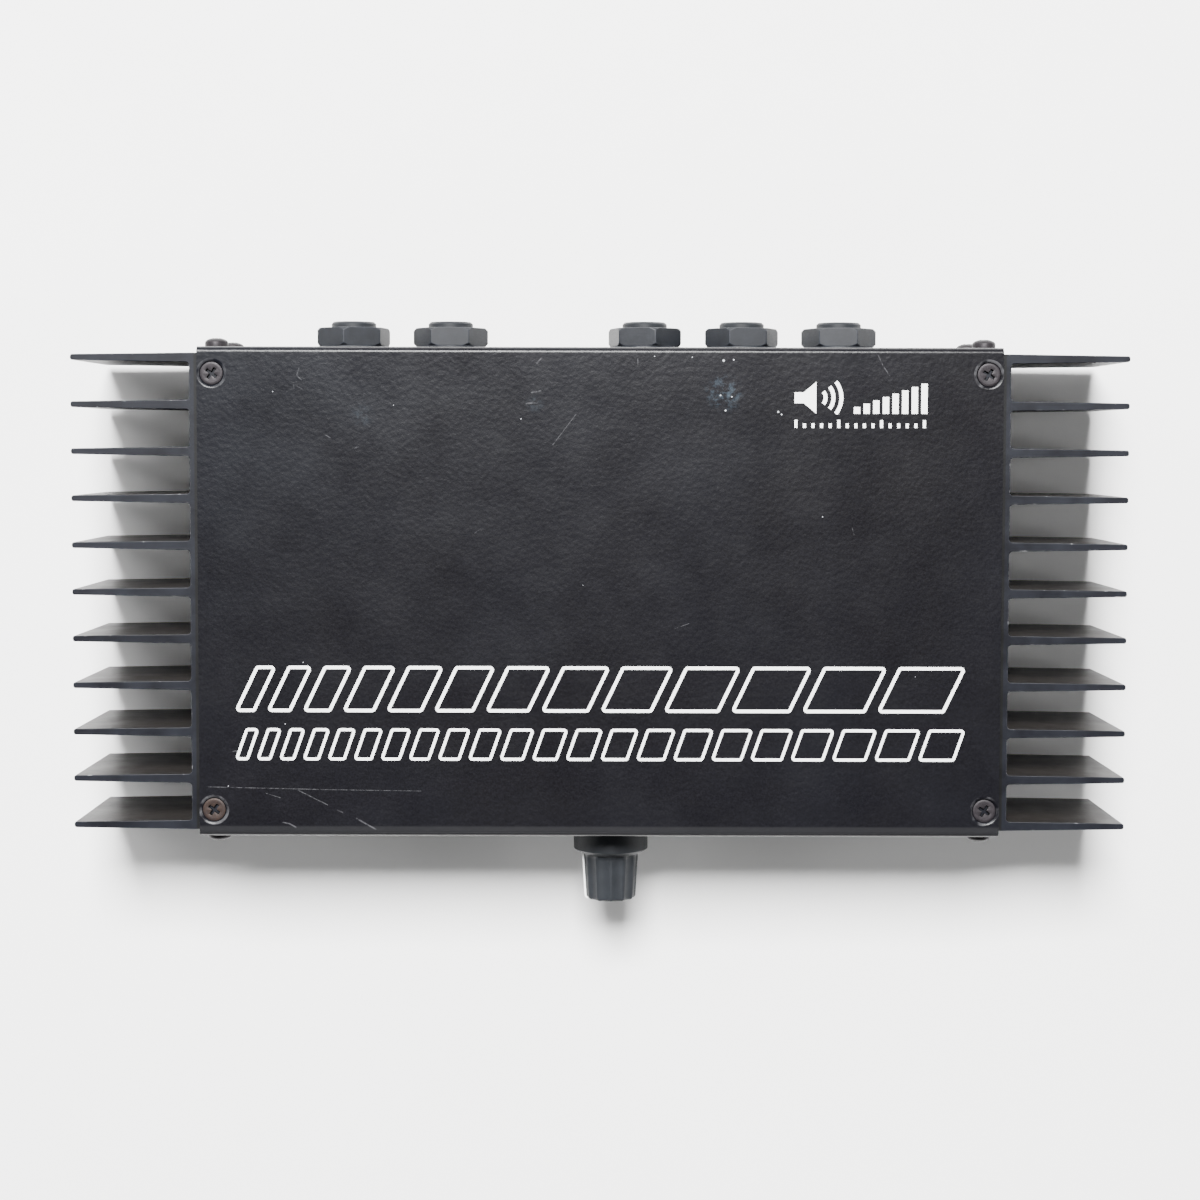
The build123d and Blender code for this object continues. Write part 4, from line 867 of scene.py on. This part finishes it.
# ------ cover and bottom plate
def on_countersink_rim(edge):
    """Whether an edge lies on the rim of a countersink."""
    slack = 0.08 * mm
    for vert in edge.verts:
        off_x, off_y = abs(vert.co.x) - screw_x, abs(vert.co.y - centre_y) - screw_y
        if abs(math.hypot(off_x, off_y) - countersink_radius) >= slack:
            return False
    return True


def make_cover():
    """The folded cover, with rolled countersink rims and softened cut edges."""
    mesh = bench_copy("top_cover", "folded_cover")

    def upper_rim(edge):
        """Whether an edge is a rim in the top of the cover."""
        return on_countersink_rim(edge) and edge.verts[0].co.z > heatsink_top

    soften(mesh, 0.40 * mm, segments=4, choose=upper_rim)
    soften(mesh, 0.12 * mm, sharp=40)
    for vert in mesh.vertices:
        vert.co.x = max(cover_low.x, min(cover_high.x, vert.co.x))
        vert.co.z = min(cover_high.z - ink, vert.co.z)
    coat = powder_coat("cover_coat", marked=True)
    piece("folded_cover", mesh, "cover_coat", "amplifier", "top_cover", finish=coat)
    plate = soften(bench_copy("bottom_plate", "bottom_cover_plate"), 0.12 * mm, sharp=40)
    piece("bottom_cover_plate", plate, "cover_coat", "amplifier", "bottom_plate")


# ------ screws and feet
def cross_recess(top, depth):
    """A cutter for a tapered cross recess that starts above the given height."""
    width, shrink = 0.5 * mm, 0.62
    outline = []
    for quarter in range(4):
        turn = Matrix.Rotation(math.radians(90 * quarter), 2)
        for corner in ((width, -width), (recess_reach, -width), (recess_reach, width)):
            outline.append(turn @ Vector(corner))
    mesh = prism("cross_recess", [(p.x, p.y) for p in outline], top - depth, top + depth)
    for vert in mesh.vertices:
        if vert.co.z < top:
            vert.co.x *= shrink
            vert.co.y *= shrink
    return mesh


def recessed(mesh, top):
    """A screw with the cross recess cut into its head, softened, and the recess marked for its painted shade.
    """
    mesh = soften(cut(mesh, cross_recess(top, recess_depth)), 0.05 * mm, sharp=50)
    marks = mesh.attributes.new("recess", "FLOAT", "FACE")
    for face, mark in zip(mesh.polygons, marks.data):
        inside = math.hypot(face.center.x, face.center.y) < recess_reach
        below = top - recess_depth - 0.05 * mm < face.center.z < top - 0.3 * mm
        mark.value = float(inside and below)
    return mesh


def countersunk_blank():
    """A countersunk screw with its head's top at the origin."""
    head, shank, edge, length = 2.75 * mm, 1.45 * mm, 0.15 * mm, 5.0 * mm
    outline = [
        (0, -0.05 * mm),
        (head - 0.6 * mm, -0.02 * mm),
        (head - 0.12 * mm, 0),
        (head, -0.08 * mm),
        (head, -edge),
        (shank, -edge - (head - shank)),
        (shank, -length),
        (0, -length),
    ]
    return recessed(lathe("countersunk_screw", outline, 48), 0)


def pan_blank():
    """A pan-head screw with the underside of its head at the origin."""
    head, height, wall, shank, length = pan_head_radius, 2.3 * mm, 1.1 * mm, 1.45 * mm, 9.4 * mm
    dome, steps = height - wall, 8
    outline = [(0, height)]
    for step in range(1, steps + 1):
        angle = math.pi / 2 * step / steps
        outline.append((head * math.sin(angle), wall + dome * math.cos(angle)))
    outline += [(head, 0.15 * mm), (head - 0.15 * mm, 0), (shank, 0), (shank, -length), (0, -length)]
    return recessed(lathe("pan_screw", outline, 48), height)


def foot_blank():
    """A turned rubber foot with rounded edges, hollow underneath, its top at the origin."""
    radius, height, dish = 5.95 * mm, plate_low.z, 3.2 * mm
    floor_radius = radius - 0.4 * mm
    rim = arc_points((floor_radius - 0.7 * mm, -height + 0.7 * mm), 0.7 * mm, 0, -90, 5)
    outline = [(0, 0), (radius - 0.2 * mm, 0), (radius, -0.2 * mm)]
    outline += rim
    outline += [(dish, -height), (dish - 0.4 * mm, -height + 0.8 * mm), (0, -height + 0.8 * mm)]
    return lathe("rubber_foot", outline, 64)


def make_corner_parts():
    """Everything that sits at the four corners of a rectangle: the case screws and the feet."""
    maker = corners_maker()
    countersunk = in_scene("countersunk_blank", countersunk_blank())
    pan = in_scene("pan_blank", pan_blank())
    foot = in_scene("foot_blank", foot_blank())
    head_sink = 0.3 * mm
    _, top_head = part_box("top_screws")
    feet_low, feet_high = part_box("rubber_feet")
    panel_low, panel_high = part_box("front_panel_screws")
    across = panel_high.x - panel_low.x - 2 * pan_head_radius
    up = panel_high.z - panel_low.z - 2 * pan_head_radius
    panel_z = (panel_high.z + panel_low.z) / 2
    feet_across = feet_high.x - feet_low.x - foot_width
    feet_along = feet_high.y - feet_low.y - foot_width
    least, most = math.radians(30), math.radians(58)
    steel, rubber = "screw_steel", "foot_rubber"
    wide, long = 2 * screw_x, 2 * screw_y
    sunk = plate_low.z + head_sink
    top, under = (0, 0, 0), (math.pi, 0, 0)
    front, back = (math.pi / 2, 0, 0), (-math.pi / 2, 0, 0)
    # name, blank, distance across and along, centre, direction, slot, node
    sets = (
        ("cover_screws", countersunk, wide, long, (0, centre_y, top_head.z), top, steel, "top_screws"),
        ("plate_screws", countersunk, wide, long, (0, centre_y, sunk), under, steel, "bottom_screws"),
        ("front_screws", pan, across, up, (0, front_face, panel_z), front, steel, "front_panel_screws"),
        ("back_screws", pan, across, up, (0, back_face, panel_z), back, steel, "back_panel_screws"),
        ("feet", foot, feet_across, feet_along, (0, centre_y, plate_low.z), top, rubber, "rubber_feet"),
    )
    for seed, (name, blank, width, length, centre, direction, slot, node) in enumerate(sets):
        mesh = maker.make(
            name,
            Part=blank, Across=width, Along=length, Least_Turn=least, Most_Turn=most, Seed=seed,
            Centre=centre, Direction=direction, Finish=finishes[slot],
        )
        piece(name, mesh, slot, "amplifier", node)
    for blank in (countersunk, pan, foot):
        bpy.data.objects.remove(blank)


# ------ jacks
def make_jacks():
    """Jack bodies with rounded bushings, softened nuts and thin washers."""
    for name in ("left_output", "right_output", "left_input", "right_input", "link"):
        mesh = soften(bench_copy(f"{name}_jack", f"{name}_socket"), 0.22 * mm, segments=3, sharp=30)
        piece(f"{name}_socket", mesh, "jack_plastic", "amplifier", f"{name}_jack")
    nuts = soften(bench_copy("jack_nuts", "moulded_nuts"), 0.28 * mm, segments=3, sharp=20)
    piece("moulded_nuts", nuts, "nut_plastic", "amplifier", "jack_nuts")
    washers = soften(bench_copy("jack_washers", "flat_washers"), 0.1 * mm, sharp=40)
    piece("flat_washers", washers, "nut_plastic", "amplifier", "jack_washers")


# ------ knob
def make_knob():
    """The skirted, fluted knob, and its pointer in a groove."""
    gap = 0.8 * mm
    end = front_face - knob_low.y
    skirt, body, tip, edge = 9.25 * mm, 6.85 * mm, 6.2 * mm, 0.8 * mm
    rim, start = 6.3 * mm, 7.5 * mm
    recess, recess_radius = 5.1 * mm, 7.8 * mm
    bore, bore_end = 3.02 * mm, 16.5 * mm
    slope = (body - tip) / (end - start)
    edge_start = end - edge
    edge_radius = body - slope * (edge_start - start)
    outline = [(0, bore_end), (bore, bore_end), (bore, recess), (recess_radius, recess)]
    outline += [(recess_radius, gap + 0.2 * mm), (recess_radius + 0.2 * mm, gap)]
    outline += arc_points((skirt - 0.25 * mm, gap + 0.25 * mm), 0.25 * mm, -90, 0, 3)
    outline += arc_points((skirt - 0.35 * mm, rim - 0.35 * mm), 0.35 * mm, 0, 55, 4)
    neck = 12
    outline.append((body + 0.5 * mm, start - 0.25 * mm))
    for step in range(neck + 1):
        height = start + (edge_start - start) * step / neck
        outline.append((body - slope * (height - start), height))
    outline += arc_points((edge_radius - edge, edge_start), edge, 12, 90, 7)
    outline += [(edge_radius - edge - 0.8 * mm, end - 0.02 * mm), (0, end - 0.25 * mm)]
    blank = lathe("knob_blank", outline, 288)
    mesh = flute_maker().make(
        "fluted_knob",
        base=blank,
        Flutes=12, Cutter_Radius=2.6 * mm, Depth=0.4 * mm, Grip_Start=start - 0.1 * mm,
        Grip_Radius=edge_radius - edge - 0.1 * mm, Finish=finishes["knob_plastic"],
    )
    # the knob's own axis is Z, with its end up: lay it down to face the front
    lay = Matrix.Translation((knob_x, front_face, axis_height)) @ Matrix.Rotation(math.pi / 2, 4, "X")
    mesh.transform(lay)
    mesh = cut(mesh, bench_copy("knob_pointer", "pointer_groove"))
    mesh.name = "fluted_knob"
    piece("fluted_knob", mesh, "knob_plastic", "knob", "volume_knob", turn_smooth=35)
    pointer = soften(bench_copy("knob_pointer", "pointer_line"), 0.04 * mm)
    piece("pointer_line", pointer, "pointer_white", "knob", "knob_pointer")


# ------ printed marks
def rectangle(left, low, width, height):
    """The corners of an upright rectangle."""
    return [(left, low), (left + width, low), (left + width, low + height), (left, low + height)]


def make_print():
    """White printed graphics: two rows of outlined bars, and a loudspeaker sign with a scale."""
    ink_low = cover_high.z - 1.5 * ink
    maker = bars_maker()
    # name, bars, row width, height, slant, narrowest, widest, middle in y, stroke
    rows = (
        ("level_row", 13, 176 * mm, 11.2 * mm, 5.0 * mm, 4.2 * mm, 15.5 * mm, -17.2 * mm, 0.80 * mm),
        ("scale_row", 22, 176 * mm, 7.8 * mm, 2.5 * mm, 2.6 * mm, 8.2 * mm, -30.6 * mm, 0.70 * mm),
    )
    for name, bars, width, height, slant, narrowest, widest, row_y, stroke in rows:
        mesh = maker.make(
            name,
            Bars=bars, Row_Width=width - stroke, Height=height - stroke, Slant=slant,
            Narrowest=narrowest, Widest=widest, Stroke=stroke, Thickness=1.4 * ink, Corner=0.5 * mm,
            Centre=(0.2 * mm, row_y, cover_high.z - 0.75 * ink), Finish=finishes["pointer_white"],
        )
        piece(f"printed_{name}", mesh, "pointer_white", "amplifier")
    sign_x, sign_y = 46.5 * mm, 53.0 * mm
    box, magnet, horn, mouth = 1.3, 2.2, 5.2, 3.8
    speaker = [(0, box), (magnet, box), (horn, mouth), (horn, -mouth), (magnet, -box), (0, -box)]
    shapes = [[(sign_x + x * mm, sign_y + y * mm) for x, y in speaker]]
    for wave in range(3):
        middle = (sign_x + 5.0 * mm, sign_y)
        radius = 2.4 + 1.9 * wave
        outer = arc_points(middle, (radius + 0.45) * mm, -38, 38, 14)
        inner = arc_points(middle, (radius - 0.45) * mm, 38, -38, 14)
        shapes.append(outer + inner)
    for bar in range(8):
        left = sign_x + (14.2 + 2.3 * bar) * mm
        shapes.append(rectangle(left, sign_y - 3.8 * mm, 1.5 * mm, (1.6 + 0.8 * bar) * mm))
    for tick in range(16):
        tall = 1.9 * mm if tick % 5 == 0 else 1.1 * mm
        shapes.append(rectangle(sign_x + 2.05 * tick * mm, sign_y - 7.2 * mm, 0.7 * mm, tall))
    meshes = [prism("mark", shape, ink_low, cover_high.z) for shape in shapes]
    piece("printed_sign", joined("printed_sign", meshes), "pointer_white", "amplifier")


# ------ floor, light, camera
def make_stage():
    """A pale floor under the feet."""
    half = 3.0
    mesh = bpy.data.meshes.new("floor")
    corners = [(-half, -half, 0), (half, -half, 0), (half, half, 0), (-half, half, 0)]
    mesh.from_pydata(corners, [], [(0, 1, 2, 3)])
    dark, light = (0.91, 0.905, 0.90), (0.93, 0.93, 0.925)
    mesh.materials.append(plain_finish("pale_floor", dark, light, 0.75, grain=10 * mm))
    in_scene("floor", mesh)


def soft_light(name, place, target, size, radiance):
    """A square soft box that looks at a point, as bright as asked."""
    lamp = bpy.data.lights.new(name, "AREA")
    lamp.size = size
    lamp.energy = radiance * math.pi * size * size
    holder = in_scene(name, lamp)
    holder.location = place
    holder.rotation_euler = (Vector(target) - Vector(place)).to_track_quat("-Z", "Y").to_euler()


def make_lights():
    """One bright soft box high at the back, and dim ones standing round the table."""
    target, distance = (0, centre_y, heatsink_top), 2.2
    # name, degrees round the table, degrees above it, side in metres, radiance
    for name, turn, rise, size, radiance in (
        ("back_box", 97, 60, 0.80, 152),
        ("back_left_box", 140, 35, 1.0, 6),
        ("left_box", 182, 22, 0.9, 5),
        ("right_box", -2, 22, 0.9, 6),
        ("front_box", 268, 42, 0.6, 6),
    ):
        across, up = math.radians(turn), math.radians(rise)
        away = Vector((math.cos(across) * math.cos(up), math.sin(across) * math.cos(up), math.sin(up)))
        soft_light(name, tuple(Vector(target) + distance * away), target, size, radiance)


def make_world():
    """Pale surroundings, bright at the horizon and dim overhead."""
    world = bpy.data.worlds.new("surroundings")
    world.use_nodes = True
    tree = Tree(world.node_tree)
    direction = tree.add("ShaderNodeTexCoord").outputs["Generated"]
    height = tree.add("ShaderNodeSeparateXYZ", Vector=direction).outputs["Z"]
    background = world.node_tree.nodes["Background"]
    tree.feed(background.inputs["Strength"], tree.curve(height, 0.1, 0.7, 0.16, 0.04, smooth=True))
    background.inputs["Color"].default_value = rgb(1, 1, 1)
    bpy.context.scene.world = world


def make_camera():
    """The camera above the amplifier, a little behind its middle and tipped to the front."""
    camera = bpy.data.cameras.new("camera")
    camera.sensor_width = 36.0
    camera.lens = 67.28
    camera.shift_y = -0.0333
    holder = in_scene("camera", camera)
    tip = Matrix.Rotation(math.radians(-3.04), 4, "X")
    roll = Matrix.Rotation(math.radians(0.127), 4, "Z")
    place = Vector((0.06 * mm, centre_y + 36.57 * mm, heatsink_top + 538.7 * mm))
    holder.matrix_world = Matrix.Translation(place) @ tip @ roll
    bpy.context.scene.camera = holder


make_camera()
make_heatsinks()
make_cover()
make_corner_parts()
make_jacks()
make_knob()
make_print()
make_stage()
make_world()
make_lights()
